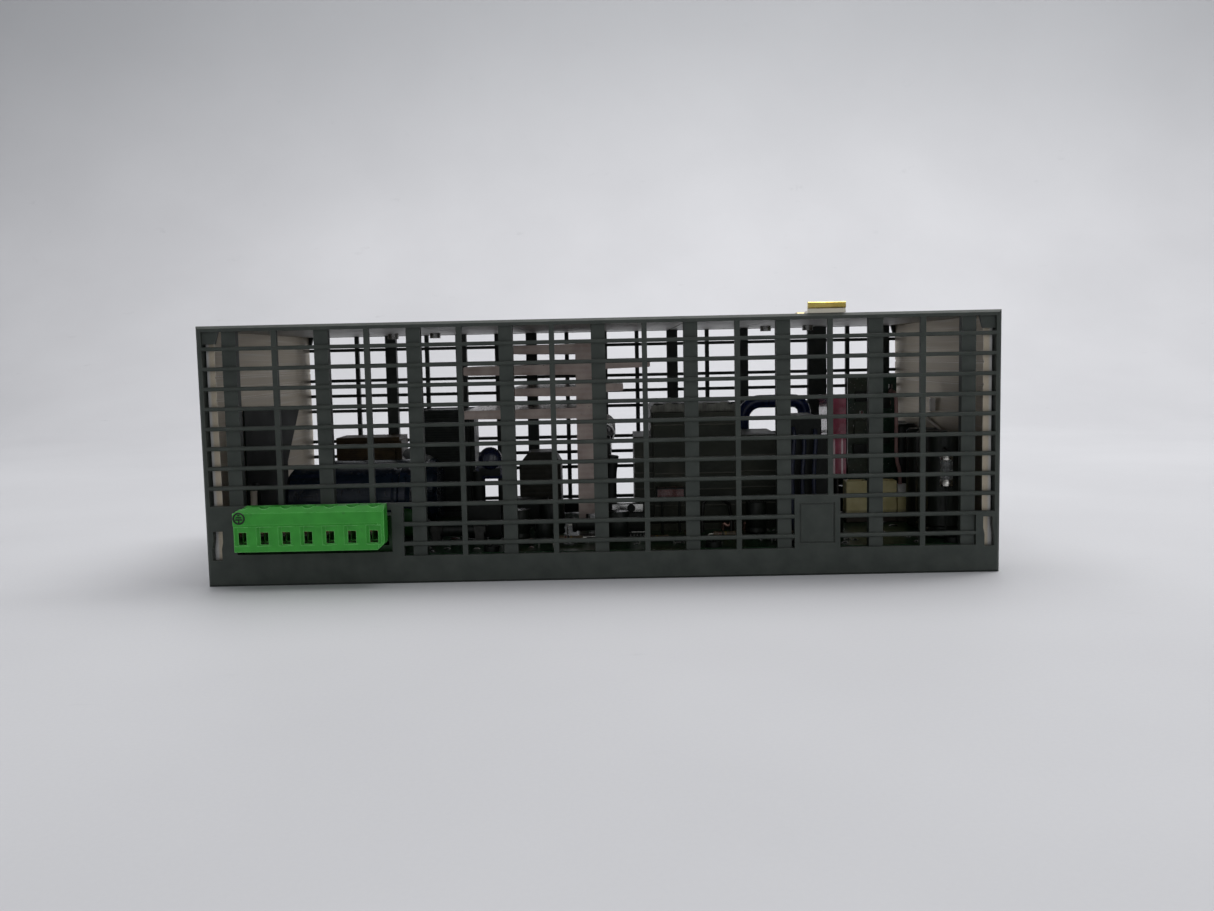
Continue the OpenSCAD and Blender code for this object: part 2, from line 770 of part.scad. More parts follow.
// Turning part of the output voltage setting, reached through the front cover
module voltage_trimmer() color("#d8d3c2") {
    x = trimmer_at[0];
    y = trimmer_at[1];
    difference() {
        rod_z(x, y, [0.9, 4.6], 1.7);
        at(x - 3, y - 0.3, 0) cube([6, 0.6, 1.6]);
    }
    rod_z(x, y, [2.4, 3.4], 2.6);
}

module trimmer_base() color("#2b4a8c") {
    x = trimmer_at[0];
    y = trimmer_at[1];
    difference() {
        block([x - 4, x + 4], [y - 4, y + 4], [3.6, board_z]);
        rod_z(x, y, [3, 5], 1.77);
    }
}

// Light guide from the board through the front cover
module status_light() color("#7fd08a") {
    x = light_at[0];
    y = light_at[1];
    rod_z(x, y, [0.1, 6], 1.55);
    block([x - 2, x + 2], [y - 2, y + 2], [5.9, board_z]);
}

input_end_grille();
output_end_grille();
left_side_wall();
right_side_wall();
back_panel();
front_cover();
housing_screws();
rail_hooks();
latch_guide();
rail_latch();
latch_spring();
main_board();
board_spacers();
board_screws();
input_header();
output_header();
header_pins();
input_plug();
input_plug_contacts();
input_screw(1);  // input_screw_1
input_screw(2);  // input_screw_2
input_screw(3);  // input_screw_3
input_screw(4);  // input_screw_4
input_screw(5);  // input_screw_5
input_screw(6);  // input_screw_6
input_screw(7);  // input_screw_7
input_clamp(1);  // input_clamp_1
input_clamp(2);  // input_clamp_2
input_clamp(3);  // input_clamp_3
input_clamp(4);  // input_clamp_4
input_clamp(5);  // input_clamp_5
input_clamp(6);  // input_clamp_6
input_clamp(7);  // input_clamp_7
output_plug();
output_plug_contacts();
output_screw(1);  // output_screw_1
output_screw(2);  // output_screw_2
output_screw(3);  // output_screw_3
output_screw(4);  // output_screw_4
output_clamp(1);  // output_clamp_1
output_clamp(2);  // output_clamp_2
output_clamp(3);  // output_clamp_3
output_clamp(4);  // output_clamp_4
bulk_capacitors();
input_choke();
pfc_choke();
standby_transformer();
heat_sink();
power_transistors();
main_transformer();
output_choke();
link_wire();
film_capacitor();
control_board();
control_headers();
output_capacitors();
insulating_sheet();
voltage_trimmer();
trimmer_base();
status_light();
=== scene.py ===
"""Looks for a DIN-rail power supply: materials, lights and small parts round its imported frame."""

import json
import math
import random

import bmesh
import bpy
from mathutils import Matrix, Vector


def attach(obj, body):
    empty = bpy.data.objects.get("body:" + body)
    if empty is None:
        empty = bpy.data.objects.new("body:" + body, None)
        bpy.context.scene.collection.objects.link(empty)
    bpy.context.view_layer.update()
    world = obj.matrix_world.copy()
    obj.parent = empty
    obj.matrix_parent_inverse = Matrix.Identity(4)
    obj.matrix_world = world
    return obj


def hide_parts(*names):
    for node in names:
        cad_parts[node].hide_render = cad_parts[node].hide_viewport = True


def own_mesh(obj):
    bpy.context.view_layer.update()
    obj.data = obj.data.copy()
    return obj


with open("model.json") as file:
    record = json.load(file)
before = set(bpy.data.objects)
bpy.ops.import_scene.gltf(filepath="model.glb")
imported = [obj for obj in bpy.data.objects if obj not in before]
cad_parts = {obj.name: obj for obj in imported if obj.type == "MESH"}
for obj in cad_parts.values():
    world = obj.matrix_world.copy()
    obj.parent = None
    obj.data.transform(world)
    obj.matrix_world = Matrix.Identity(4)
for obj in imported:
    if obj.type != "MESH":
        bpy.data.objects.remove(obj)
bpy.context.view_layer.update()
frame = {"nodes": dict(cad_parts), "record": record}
nodes = frame["nodes"]
scene = bpy.context.scene
rng = random.Random(7)

MM = 0.001
# The housing's width, and the distance from its input face to its output face
WIDTH, DEPTH = 280, 125
# Height of the circuit board's upper face
BOARD_TOP = 9.6
# Distance between two poles of a plug
POLE_PITCH = 7.62
# Small chips on the board, and the distance between two legs of a larger one
SMALL_CHIPS = 120
LEG_PITCH = 1.27


def at(x, y, z):
    """A point given in millimetres from the left side, the input face and the rest face."""
    return Vector(((x - WIDTH / 2) * MM, (y - DEPTH / 2) * MM, z * MM))


# ---- Materials ---------------------------------------------------------------

class Surface:
    """A procedural material: two drifting tones, grain in its roughness and bump, and layers over them."""

    def __init__(self, name, low, high, patch=300, stretch=(1, 1, 1), rough=(0.4, 0.6),
                 grain=2500, grain_stretch=(1, 1, 1), bump=0.2, depth=0.03, metallic=0.0, **fixed):
        self.material = bpy.data.materials.new(name)
        self.material.use_nodes = True
        self.tree = self.material.node_tree
        self.tree.nodes.clear()
        self.coords = self.add("ShaderNodeTexCoord").outputs["Object"]
        self.shader = self.add("ShaderNodeBsdfPrincipled")
        out = self.add("ShaderNodeOutputMaterial")
        self.tree.links.new(self.shader.outputs[0], out.inputs["Surface"])
        self.shader.inputs["Metallic"].default_value = metallic
        for key, value in fixed.items():
            self.shader.inputs[key.replace("_", " ").title().replace("Ior", "IOR")].default_value = value
        tones = self.add("ShaderNodeMix", data_type="RGBA")
        tones.inputs[6].default_value = (*low, 1)
        tones.inputs[7].default_value = (*high, 1)
        self.tree.links.new(self.noise(patch, stretch), tones.inputs[0])
        self.colour = tones.outputs[2]
        fine = self.noise(grain, grain_stretch, 0.25, 0.75)
        self.rough = self.span(fine, 0, 1, *rough)
        self.height = fine
        self.bump, self.depth = bump, depth

    def add(self, kind, **settings):
        node = self.tree.nodes.new(kind)
        for key, value in settings.items():
            setattr(node, key, value)
        return node

    def span(self, value, a, b, c, d):
        """value from the range a..b, mapped to c..d and kept inside it."""
        node = self.add("ShaderNodeMapRange")
        for i, limit in enumerate((a, b, c, d), 1):
            node.inputs[i].default_value = limit
        self.tree.links.new(value, node.inputs[0])
        return node.outputs[0]

    def math(self, operation, *values):
        node = self.add("ShaderNodeMath", operation=operation)
        for i, value in enumerate(values):
            if isinstance(value, (int, float)):
                node.inputs[i].default_value = value
            else:
                self.tree.links.new(value, node.inputs[i])
        return node.outputs[0]

    def place(self, stretch):
        """The object's coordinates, stretched along each axis."""
        node = self.add("ShaderNodeMapping")
        node.inputs["Scale"].default_value = stretch
        self.tree.links.new(self.coords, node.inputs[0])
        return node.outputs[0]

    def noise(self, scale, stretch=(1, 1, 1), low=0.35, high=0.65):
        """Soft blotches: 0 below low, 1 above high."""
        node = self.add("ShaderNodeTexNoise")
        node.inputs["Scale"].default_value = scale
        node.inputs["Detail"].default_value = 4
        self.tree.links.new(self.place(stretch), node.inputs["Vector"])
        return self.span(node.outputs[0], low, high, 0, 1)

    def cells(self, scale, low, high, feature="F1"):
        """Voronoi cells: 1 where the distance is below low, 0 above high."""
        node = self.add("ShaderNodeTexVoronoi", feature=feature)
        node.inputs["Scale"].default_value = scale
        self.tree.links.new(self.coords, node.inputs["Vector"])
        return self.span(node.outputs["Distance"], low, high, 1, 0)

    def along(self, axis):
        """The place along one axis of the shared frame, in metres."""
        node = self.add("ShaderNodeSeparateXYZ")
        self.tree.links.new(self.coords, node.inputs[0])
        return node.outputs[axis]

    def bands(self, axis, pitch, share, soft):
        """1 in a share of every pitch millimetres along an axis, 0 elsewhere."""
        phase = self.math("PINGPONG", self.math("DIVIDE", self.along(axis), pitch * MM), 0.5)
        return self.span(phase, share / 2, share / 2 + soft, 1, 0)

    def facing(self, axis, low, high):
        """How far a face looks along an axis: 0 at low, 1 at high."""
        normal = self.add("ShaderNodeNewGeometry").outputs["Normal"]
        node = self.add("ShaderNodeSeparateXYZ")
        self.tree.links.new(normal, node.inputs[0])
        return self.span(node.outputs[axis], low, high, 0, 1)

    def edges(self, radius):
        """1 along sharp edges, 0 on flat faces."""
        bevel = self.add("ShaderNodeBevel", samples=4)
        bevel.inputs["Radius"].default_value = radius * MM
        dot = self.add("ShaderNodeVectorMath", operation="DOT_PRODUCT")
        self.tree.links.new(bevel.outputs[0], dot.inputs[0])
        self.tree.links.new(self.add("ShaderNodeNewGeometry").outputs["Normal"], dot.inputs[1])
        return self.span(dot.outputs["Value"], 0.8, 0.99, 1, 0)

    def over(self, colour, mask, rough=None, amount=1.0):
        """Lays a colour, and a roughness, over what is there where mask is 1."""
        if amount != 1.0:
            mask = self.math("MULTIPLY", mask, amount)
        mix = self.add("ShaderNodeMix", data_type="RGBA")
        self.tree.links.new(mask, mix.inputs[0])
        self.tree.links.new(self.colour, mix.inputs[6])
        mix.inputs[7].default_value = (*colour, 1)
        self.colour = mix.outputs[2]
        if rough is not None:
            mix = self.add("ShaderNodeMix", data_type="FLOAT")
            self.tree.links.new(mask, mix.inputs[0])
            self.tree.links.new(self.rough, mix.inputs[2])
            mix.inputs[3].default_value = rough
            self.rough = mix.outputs[0]
        return self

    def raise_by(self, mask, amount):
        """Adds a mask to the bump's height."""
        self.height = self.math("ADD", self.height, self.math("MULTIPLY", mask, amount))
        return self

    def dust(self, amount, colour=(0.42, 0.41, 0.38)):
        """Settled dust on faces that look up, in patches."""
        mask = self.math("MULTIPLY", self.facing(2, 0.5, 1.0), self.noise(220, low=0.3, high=0.75))
        return self.over(colour, mask, rough=0.9, amount=amount)

    def done(self):
        """Joins the layers to the shader and gives the material."""
        bump = self.add("ShaderNodeBump")
        bump.inputs["Strength"].default_value = self.bump
        bump.inputs["Distance"].default_value = self.depth * MM
        self.tree.links.new(self.height, bump.inputs["Height"])
        self.tree.links.new(bump.outputs[0], self.shader.inputs["Normal"])
        self.tree.links.new(self.colour, self.shader.inputs["Base Color"])
        self.tree.links.new(self.rough, self.shader.inputs["Roughness"])
        return self.material


def grille_plastic():
    """Grained dark grey moulding with fine scuffs, paler in patches along its edges as painted highlight."""
    s = Surface("grille_plastic", (0.029, 0.037, 0.031), (0.043, 0.052, 0.044), patch=160,
                rough=(0.42, 0.60), grain=3200, bump=0.35, depth=0.05, specular_ior_level=0.4)
    # Painted highlight: edges paler in patches, as if catching light.
    edge_highlight = s.math("MULTIPLY", s.edges(0.3), s.noise(90, low=0.2, high=0.7))
    s.over((0.11, 0.12, 0.10), edge_highlight, rough=0.36, amount=0.7)
    s.over((0.075, 0.080, 0.070), s.noise(1500, (1, 1, 6), 0.66, 0.74), rough=0.5, amount=0.5)
    return s.dust(0.16).done()


def cover_plastic():
    """Darker grained moulding of the front cover."""
    s = Surface("cover_plastic", (0.020, 0.026, 0.022), (0.032, 0.038, 0.033), patch=120,
                rough=(0.45, 0.65), grain=2800, bump=0.3, depth=0.05)
    # Painted highlight: paler along the edges.
    s.over((0.09, 0.095, 0.09), s.edges(0.3), rough=0.4, amount=0.5)
    return s.done()


def wall_aluminium():
    """Brushed aluminium, cooler outside, with a warm painted reflection on the side walls' inner faces,
    where the closed inside reflects itself.
    """
    s = Surface("wall_aluminium", (0.47, 0.47, 0.46), (0.53, 0.53, 0.52), patch=30, stretch=(1, 0.5, 1),
                rough=(0.38, 0.54), grain=2600, grain_stretch=(1, 0.012, 1), bump=0.2, depth=0.02,
                metallic=0.75)
    # Painted reflection: a warm tint on the side walls' inner faces.
    across = s.math("ABSOLUTE", s.along(0))
    near_wall = s.math("MULTIPLY", s.span(across, 0.1362, 0.1370, 1, 0), s.span(across, 0.130, 0.1335, 0, 1))
    inside = s.math("MULTIPLY", near_wall, s.facing(2, 0.9, 0.5))
    s.over((0.42, 0.355, 0.25), inside, amount=0.85)
    s.over((0.37, 0.365, 0.35), s.noise(1600, (1, 0.010, 1), 0.52, 0.75), amount=0.4)
    s.over((0.62, 0.62, 0.61), s.noise(2100, (1, 0.008, 1), 0.56, 0.72), rough=0.34, amount=0.35)
    # Painted highlight: bright along the edges.
    s.over((0.74, 0.74, 0.73), s.edges(0.25), rough=0.25, amount=0.6)
    # Painted shade: the back panel's underside darkened in streaky patches.
    under = s.math("MULTIPLY", s.facing(2, -0.5, -0.9), s.noise(60, (1, 0.1, 1), 0.3, 0.6))
    s.over((0.16, 0.145, 0.12), s.math("MULTIPLY", under, s.span(s.along(2), 0.0898, 0.0905, 0, 1)),
           rough=0.45, amount=0.6)
    s.over((0.33, 0.32, 0.30), s.noise(900, (1, 1, 1), 0.70, 0.78), rough=0.6, amount=0.3)
    return s.done()


def plug_green(name, low, high, rim):
    """Satin green moulding with painted highlights on its rims."""
    s = Surface(name, low, high, patch=200, rough=(0.33, 0.46), grain=2600, bump=0.12, depth=0.03,
                specular_ior_level=0.45)
    # Painted highlight: bright rims along the edges.
    s.over(rim, s.edges(0.45), rough=0.3, amount=0.85)
    s.over((0.02, 0.10, 0.02), s.noise(500, low=0.64, high=0.75), amount=0.35)
    return s.done()


def plated(name, low, high, tint, rough=(0.18, 0.34), stretch=(0.05, 1, 1)):
    """Plated steel with drawn streaks and duller stains."""
    s = Surface(name, low, high, patch=300, rough=rough, grain=1800, grain_stretch=stretch,
                bump=0.1, depth=0.02, metallic=1.0)
    s.over(tint, s.noise(260, low=0.5, high=0.7), rough=0.45, amount=0.45)
    return s.done()


def circuit_board(name, low, high, track, trace=260):
    """Solder resist over tracks and pads."""
    s = Surface(name, low, high, patch=80, rough=(0.22, 0.40), grain=1500, bump=0.1, depth=0.02,
                coat_weight=0.05, specular_ior_level=0.25)
    tracks = s.cells(trace, 0.0, 0.13, feature="DISTANCE_TO_EDGE")
    s.over(track, tracks, rough=0.3, amount=0.8).raise_by(tracks, 0.8)
    pads = s.cells(trace * 1.9, 0.16, 0.19)
    some = s.noise(120, low=0.49, high=0.52)
    s.over((0.20, 0.20, 0.18), s.math("MULTIPLY", pads, some), rough=0.3, amount=0.8)
    s.over((0.10, 0.07, 0.03), s.noise(45, low=0.55, high=0.7), rough=0.6, amount=0.3)
    return s.dust(0.12, (0.08, 0.09, 0.07)).done()


def sleeve(name, low, high, streak_highlight, axis_stretch=(0.15, 1, 1), rough=(0.16, 0.30), gloss=0.4):
    """Shrunk sleeve: glossy, with long faint streaks painted as highlights, and small puckers dented and
    darkened as painted shade.
    """
    s = Surface(name, low, high, patch=260, stretch=axis_stretch, rough=rough, grain=500,
                bump=0.25, depth=0.12, coat_weight=gloss, coat_roughness=0.12,
                specular_ior_level=0.25)
    # Painted highlight: long faint streaks along the sleeve.
    s.over(streak_highlight, s.noise(330, axis_stretch, 0.55, 0.75), amount=0.5)
    # Painted shade: the puckers are darkened as well as dented.
    crease_dents_and_shade = s.noise(700, (1, 1, 0.4), 0.60, 0.68)
    s.over(tuple(c * 0.4 for c in low), crease_dents_and_shade, amount=0.7).raise_by(crease_dents_and_shade, -0.8)
    return s.done()


def wound(name, low, high, tape, pitch=0.9):
    """Varnished winding under tape: fine parallel turns, blotches and paler edges painted as highlight."""
    s = Surface(name, low, high, patch=170, rough=(0.38, 0.6), grain=900, bump=0.5, depth=0.1,
                specular_ior_level=0.22)
    turns = s.bands(2, pitch, 0.45, 0.25)
    s.over(tape, turns, amount=0.30).raise_by(turns, 1.2)
    # Painted highlight: paler along the edges.
    s.over(tuple(c * 1.8 for c in high), s.edges(0.5), rough=0.4, amount=0.4)
    s.over(tape, s.noise(140, low=0.52, high=0.66), rough=0.3, amount=0.5)
    return s.dust(0.15, tuple(c * 2 + 0.01 for c in high)).done()


def heat_sink_aluminium():
    """Pinkish extruded aluminium with faint ribs, pits, and painted light: ribs lighter on faces towards +x,
    upper faces brighter.
    """
    s = Surface("heat_sink_aluminium", (0.33, 0.26, 0.23), (0.46, 0.38, 0.34), patch=150,
                rough=(0.30, 0.50), grain=1600, grain_stretch=(1, 0.05, 1), bump=0.25, depth=0.04,
                metallic=0.55)
    # Painted light: the ribs show lighter on faces that look towards +x.
    ribs = s.math("MULTIPLY", s.bands(2, 2.1, 0.3, 0.2), s.facing(0, -1, 1))
    s.over((0.56, 0.53, 0.50), ribs, amount=0.25)
    pits = s.math("MULTIPLY", s.cells(430, 0.05, 0.10), s.noise(110, low=0.47, high=0.56))
    s.over((0.05, 0.035, 0.03), pits, rough=0.9, amount=0.9)
    # Painted light: upper faces brighter.
    s.over((0.68, 0.64, 0.60), s.facing(2, 0.6, 0.95), rough=0.2, amount=0.55)
    return s.done()


def moulded(name, low, high, rough=(0.35, 0.55), grain=1800, bump=0.2, **more):
    """Any small moulded or dipped body: two tones, paler edges painted as highlight, and a little dust."""
    s = Surface(name, low, high, patch=240, rough=rough, grain=grain, bump=bump, depth=0.04, **more)
    # Painted highlight: paler along the edges.
    s.over(tuple(min(1, c * 1.5 + 0.01) for c in high), s.edges(0.25), amount=0.3)
    return s.dust(0.12, tuple(min(0.4, c * 2 + 0.03) for c in high)).done()


def latch_plating():
    """Yellow passivated steel on the raised tab, paler low down, with painted shade darkening the faces that
    look along +x.
    """
    s = Surface("latch_plating", (0.46, 0.33, 0.075), (0.64, 0.50, 0.16), patch=300, rough=(0.16, 0.30),
                grain=1800, grain_stretch=(0.05, 1, 1), bump=0.1, depth=0.02, metallic=1.0)
    s.over((0.36, 0.30, 0.08), s.noise(260, low=0.5, high=0.7), rough=0.45, amount=0.45)
    s.over((0.62, 0.60, 0.54), s.span(s.along(2), 0.0934, 0.0939, 1, 0), rough=0.3, amount=0.85)
    # Painted shade: the faces that look along +x darker.
    s.over((0.10, 0.08, 0.03), s.facing(0, 0.5, 0.9), rough=0.6, amount=0.7)
    return s.done()


def film_red():
    """Dipped red capacitor with pale glints up its lower half, and dark legs."""
    s = Surface("film_red", (0.20, 0.026, 0.050), (0.34, 0.055, 0.095), patch=120, rough=(0.16, 0.3),
                grain=700, bump=0.2, depth=0.08, coat_weight=0.5)
    glint = s.math("MULTIPLY", s.bands(0, 3.1, 0.16, 0.05), s.span(s.along(2), 0.0435, 0.0455, 1, 0))
    s.over((0.72, 0.56, 0.58), glint, amount=0.9)
    s.over((0.022, 0.022, 0.022), s.span(s.along(2), 0.0296, 0.0299, 1, 0), rough=0.5)
    return s.done()


def transformer_tape():
    """Dark olive tape in wraps, with the darker ferrite below."""
    s = Surface("transformer_tape", (0.012, 0.016, 0.009), (0.023, 0.028, 0.017), patch=70,
                stretch=(0.6, 1, 1.6), rough=(0.32, 0.52), grain=420, grain_stretch=(0.3, 1, 1),
                bump=0.5, depth=0.15, specular_ior_level=0.25)
    wraps = s.bands(2, 6.4, 0.06, 0.03)
    s.over((0.10, 0.10, 0.08), wraps, amount=0.6).raise_by(wraps, 1.5)
    s.over((0.075, 0.072, 0.050), s.noise(60, low=0.5, high=0.7), rough=0.2, amount=0.6)
    # Painted highlight: paler along the edges.
    s.over((0.08, 0.08, 0.06), s.edges(0.6), rough=0.3, amount=0.4)
    return s.dust(0.2, (0.10, 0.10, 0.08)).done()


def clear_green():
    """Tinted light guide."""
    s = Surface("light_clear", (0.35, 0.72, 0.42), (0.45, 0.80, 0.50), rough=(0.05, 0.12), bump=0.05,
                transmission_weight=0.8, ior=1.49)
    return s.done()


def fuse_glass():
    """Thin clear glass of the upright fuse."""
    s = Surface("fuse_glass", (0.80, 0.84, 0.82), (0.90, 0.92, 0.90), rough=(0.02, 0.07), bump=0.03,
                transmission_weight=0.9, ior=1.45)
    return s.done()


def sheet_black():
    """Thin glossy insulating sheet with a slight ripple."""
    s = Surface("sheet_black", (0.006, 0.009, 0.007), (0.014, 0.018, 0.015), patch=40, rough=(0.42, 0.58),
                grain=60, bump=0.15, depth=0.3, specular_ior_level=0.05)
    s.over((0.05, 0.055, 0.05), s.noise(700, (1, 4, 0.3), 0.68, 0.78), rough=0.5, amount=0.4)
    return s.done()


def header_cream():
    """Cream header housings, darkened as painted shade along their edges and towards their foot on the
    board.
    """
    s = Surface("connector_cream", (0.66, 0.58, 0.26), (0.80, 0.71, 0.38), patch=240, rough=(0.38, 0.55),
                grain=1800, bump=0.2, depth=0.04)
    # Painted shade: darker along the edges.
    s.over((0.30, 0.24, 0.09), s.edges(0.4), amount=0.4)
    # Painted shade: near black towards the foot on the board.
    s.over((0.045, 0.034, 0.022), s.span(s.along(2), 0.0120, 0.0150, 1, 0), rough=0.6)
    return s.done()


GREEN = plug_green("plug_green", (0.024, 0.300, 0.020), (0.036, 0.360, 0.030), (0.24, 0.78, 0.22))
# Painted shade: the header's green is the plug's green darkened, with a dim rim, as the header sits back in
# shade.
HEADER_GREEN_SHADED = plug_green("header_green", (0.006, 0.050, 0.008), (0.010, 0.075, 0.011), (0.02, 0.11, 0.02))
PALE_STEEL = plated("pale_steel", (0.60, 0.60, 0.58), (0.76, 0.76, 0.74), (0.38, 0.36, 0.32))
DULL_STEEL = plated("dull_steel", (0.045, 0.045, 0.042), (0.085, 0.085, 0.080), (0.03, 0.03, 0.028),
                    rough=(0.42, 0.58))
SPRING_STEEL = plated("spring_steel", (0.42, 0.42, 0.42), (0.60, 0.60, 0.60), (0.25, 0.24, 0.22))
TIN = plated("pin_tin", (0.62, 0.60, 0.55), (0.78, 0.76, 0.70), (0.40, 0.38, 0.34))
CAN_TOP = plated("can_top", (0.13, 0.13, 0.13), (0.22, 0.22, 0.22), (0.09, 0.09, 0.09),
                 rough=(0.2, 0.3), stretch=(1, 1, 1))
SOLDER = plated("solder", (0.20, 0.20, 0.19), (0.34, 0.34, 0.32), (0.12, 0.12, 0.10), stretch=(1, 1, 1))
COPPER = plated("contact_copper", (0.55, 0.27, 0.14), (0.70, 0.40, 0.24), (0.30, 0.14, 0.08))
PINK_COPPER = plated("pink_copper", (0.36, 0.20, 0.16), (0.50, 0.30, 0.25), (0.20, 0.10, 0.08),
                     rough=(0.3, 0.45))
BLACK = moulded("transistor_black", (0.006, 0.008, 0.006), (0.012, 0.015, 0.012), rough=(0.4, 0.6),
                specular_ior_level=0.25)
BLACK_SLEEVE = sleeve("capacitor_black", (0.007, 0.010, 0.008), (0.014, 0.018, 0.013), (0.028, 0.034, 0.026),
                      (1, 1, 0.15), (0.34, 0.50), 0.1)
WHITE = moulded("white_plastic", (0.70, 0.69, 0.65), (0.80, 0.79, 0.75))
CORE_BLUE = moulded("trimmer_blue", (0.020, 0.055, 0.240), (0.030, 0.085, 0.320))
SILICONE = moulded("silicone", (0.26, 0.27, 0.27), (0.38, 0.39, 0.39), rough=(0.25, 0.45), grain=500,
                   bump=0.4)
DISC_BLUE = moulded("disc_blue", (0.007, 0.010, 0.028), (0.013, 0.018, 0.050), rough=(0.15, 0.3), grain=600,
                    coat_weight=0.5)
CRUMPLED = moulded("crumpled_tape", (0.060, 0.062, 0.048), (0.170, 0.172, 0.140), rough=(0.25, 0.45),
                   grain=500, bump=0.6)
NAVY = moulded("navy_wire", (0.008, 0.012, 0.030), (0.014, 0.022, 0.055), rough=(0.25, 0.4))
PINK = moulded("pink_wire", (0.30, 0.17, 0.16), (0.40, 0.24, 0.22))
BEIGE = moulded("beige_sleeve", (0.52, 0.46, 0.38), (0.62, 0.56, 0.47))
BROWN = moulded("brown_film", (0.075, 0.020, 0.018), (0.120, 0.034, 0.028), rough=(0.18, 0.34),
                coat_weight=0.4)
GREY = moulded("grey_film", (0.030, 0.034, 0.034), (0.050, 0.056, 0.056), rough=(0.16, 0.3),
               coat_weight=0.4)
YELLOW = moulded("yellow_film", (0.16, 0.11, 0.02), (0.24, 0.17, 0.03))
RESISTOR = moulded("resistor_body", (0.10, 0.075, 0.045), (0.16, 0.12, 0.075))
CERAMIC = moulded("ceramic", (0.13, 0.12, 0.10), (0.20, 0.19, 0.16), rough=(0.5, 0.7))
INK = moulded("print_black", (0.004, 0.008, 0.004), (0.008, 0.012, 0.008), rough=(0.5, 0.7))
GLASS = fuse_glass()

# The look of each material slot that the CAD nodes name
looks = {
    "grille_plastic": grille_plastic(),
    "wall_aluminium": wall_aluminium(),
    "cover_plastic": cover_plastic(),
    "screw_steel": plated("screw_steel", (0.34, 0.34, 0.33), (0.50, 0.50, 0.48), (0.20, 0.19, 0.17),
                          stretch=(1, 1, 1)),
    "rail_steel": plated("rail_steel", (0.50, 0.51, 0.50), (0.60, 0.61, 0.60), (0.44, 0.44, 0.42),
                         rough=(0.34, 0.42), stretch=(1, 0.2, 1)),
    "latch_plating": latch_plating(),
    "spring_steel": SPRING_STEEL,
    "board_green": circuit_board("board_green", (0.006, 0.030, 0.010), (0.010, 0.046, 0.016),
                                 (0.015, 0.066, 0.025)),
    "control_board_green": circuit_board("control_board_green", (0.006, 0.024, 0.012), (0.010, 0.034, 0.018),
                                         (0.014, 0.046, 0.025), 420),
    "spacer_brass": plated("spacer_brass", (0.60, 0.45, 0.18), (0.74, 0.60, 0.30), (0.40, 0.28, 0.10),
                           stretch=(1, 1, 1)),
    "plug_green": GREEN,
    "header_green": HEADER_GREEN_SHADED,
    "contact_copper": COPPER,
    "pin_tin": TIN,
    "clamp_steel": plated("clamp_steel", (0.40, 0.38, 0.35), (0.58, 0.55, 0.50), (0.34, 0.18, 0.14)),
    "capacitor_blue": sleeve("capacitor_blue", (0.005, 0.011, 0.020), (0.010, 0.021, 0.038),
                             (0.040, 0.034, 0.085)),
    "choke_brown": wound("choke_brown", (0.032, 0.024, 0.013), (0.054, 0.038, 0.021), (0.13, 0.085, 0.035)),
    "choke_black": wound("choke_black", (0.007, 0.010, 0.008), (0.014, 0.018, 0.015), (0.035, 0.045, 0.040),
                         pitch=1.1),
    "transformer_grey": wound("transformer_grey", (0.022, 0.022, 0.016), (0.036, 0.036, 0.027),
                              (0.06, 0.06, 0.045), pitch=2.0),
    "heat_sink_aluminium": heat_sink_aluminium(),
    "transistor_black": BLACK,
    "transformer_tape": transformer_tape(),
    "output_choke_black": moulded("output_choke_black", (0.005, 0.007, 0.006), (0.010, 0.013, 0.011),
                                  rough=(0.35, 0.52), grain=600, bump=0.35, specular_ior_level=0.22),
    "link_blue": sleeve("link_blue", (0.012, 0.022, 0.080), (0.022, 0.040, 0.140), (0.060, 0.080, 0.220),
                        (1, 1, 1)),
    "film_red": film_red(),
    "connector_cream": header_cream(),
    "capacitor_black": BLACK_SLEEVE,
    "sheet_black": sheet_black(),
    "trimmer_cream": WHITE,
    "trimmer_blue": CORE_BLUE,
    "light_clear": clear_green(),
}
for part in frame["record"]["subparts"]:
    mesh = nodes[part["node"]].data
    mesh.materials.clear()
    mesh.materials.append(looks[part["material_slot"]])

# The board's screws are drawn dark, unlike the housing's
nodes["board_screws"].data.materials[0] = BLACK


def soften(node, width):
    """Rounds a CAD node's sharp edges as the real moulding or pressing has them."""
    o = nodes[node]
    weld = o.modifiers.new("weld", "WELD")
    weld.merge_threshold = 2e-6
    bevel = o.modifiers.new("round_edges", "BEVEL")
    bevel.width = width * MM
    bevel.segments = 2
    bevel.limit_method = "ANGLE"
    bevel.angle_limit = math.radians(35)
    bevel.harden_normals = True


for name, width in (("input_end_grille", 0.1), ("output_end_grille", 0.1), ("input_plug", 0.14),
                    ("output_plug", 0.14), ("rail_latch", 0.18), ("rail_hooks", 0.2), ("heat_sink", 0.25),
                    ("standby_transformer", 0.6), ("output_choke", 0.5), ("film_capacitor", 0.9),
                    ("control_headers", 0.25), ("power_transistors", 0.25)):
    soften(name, width)


# ---- Small parts -------------------------------------------------------------

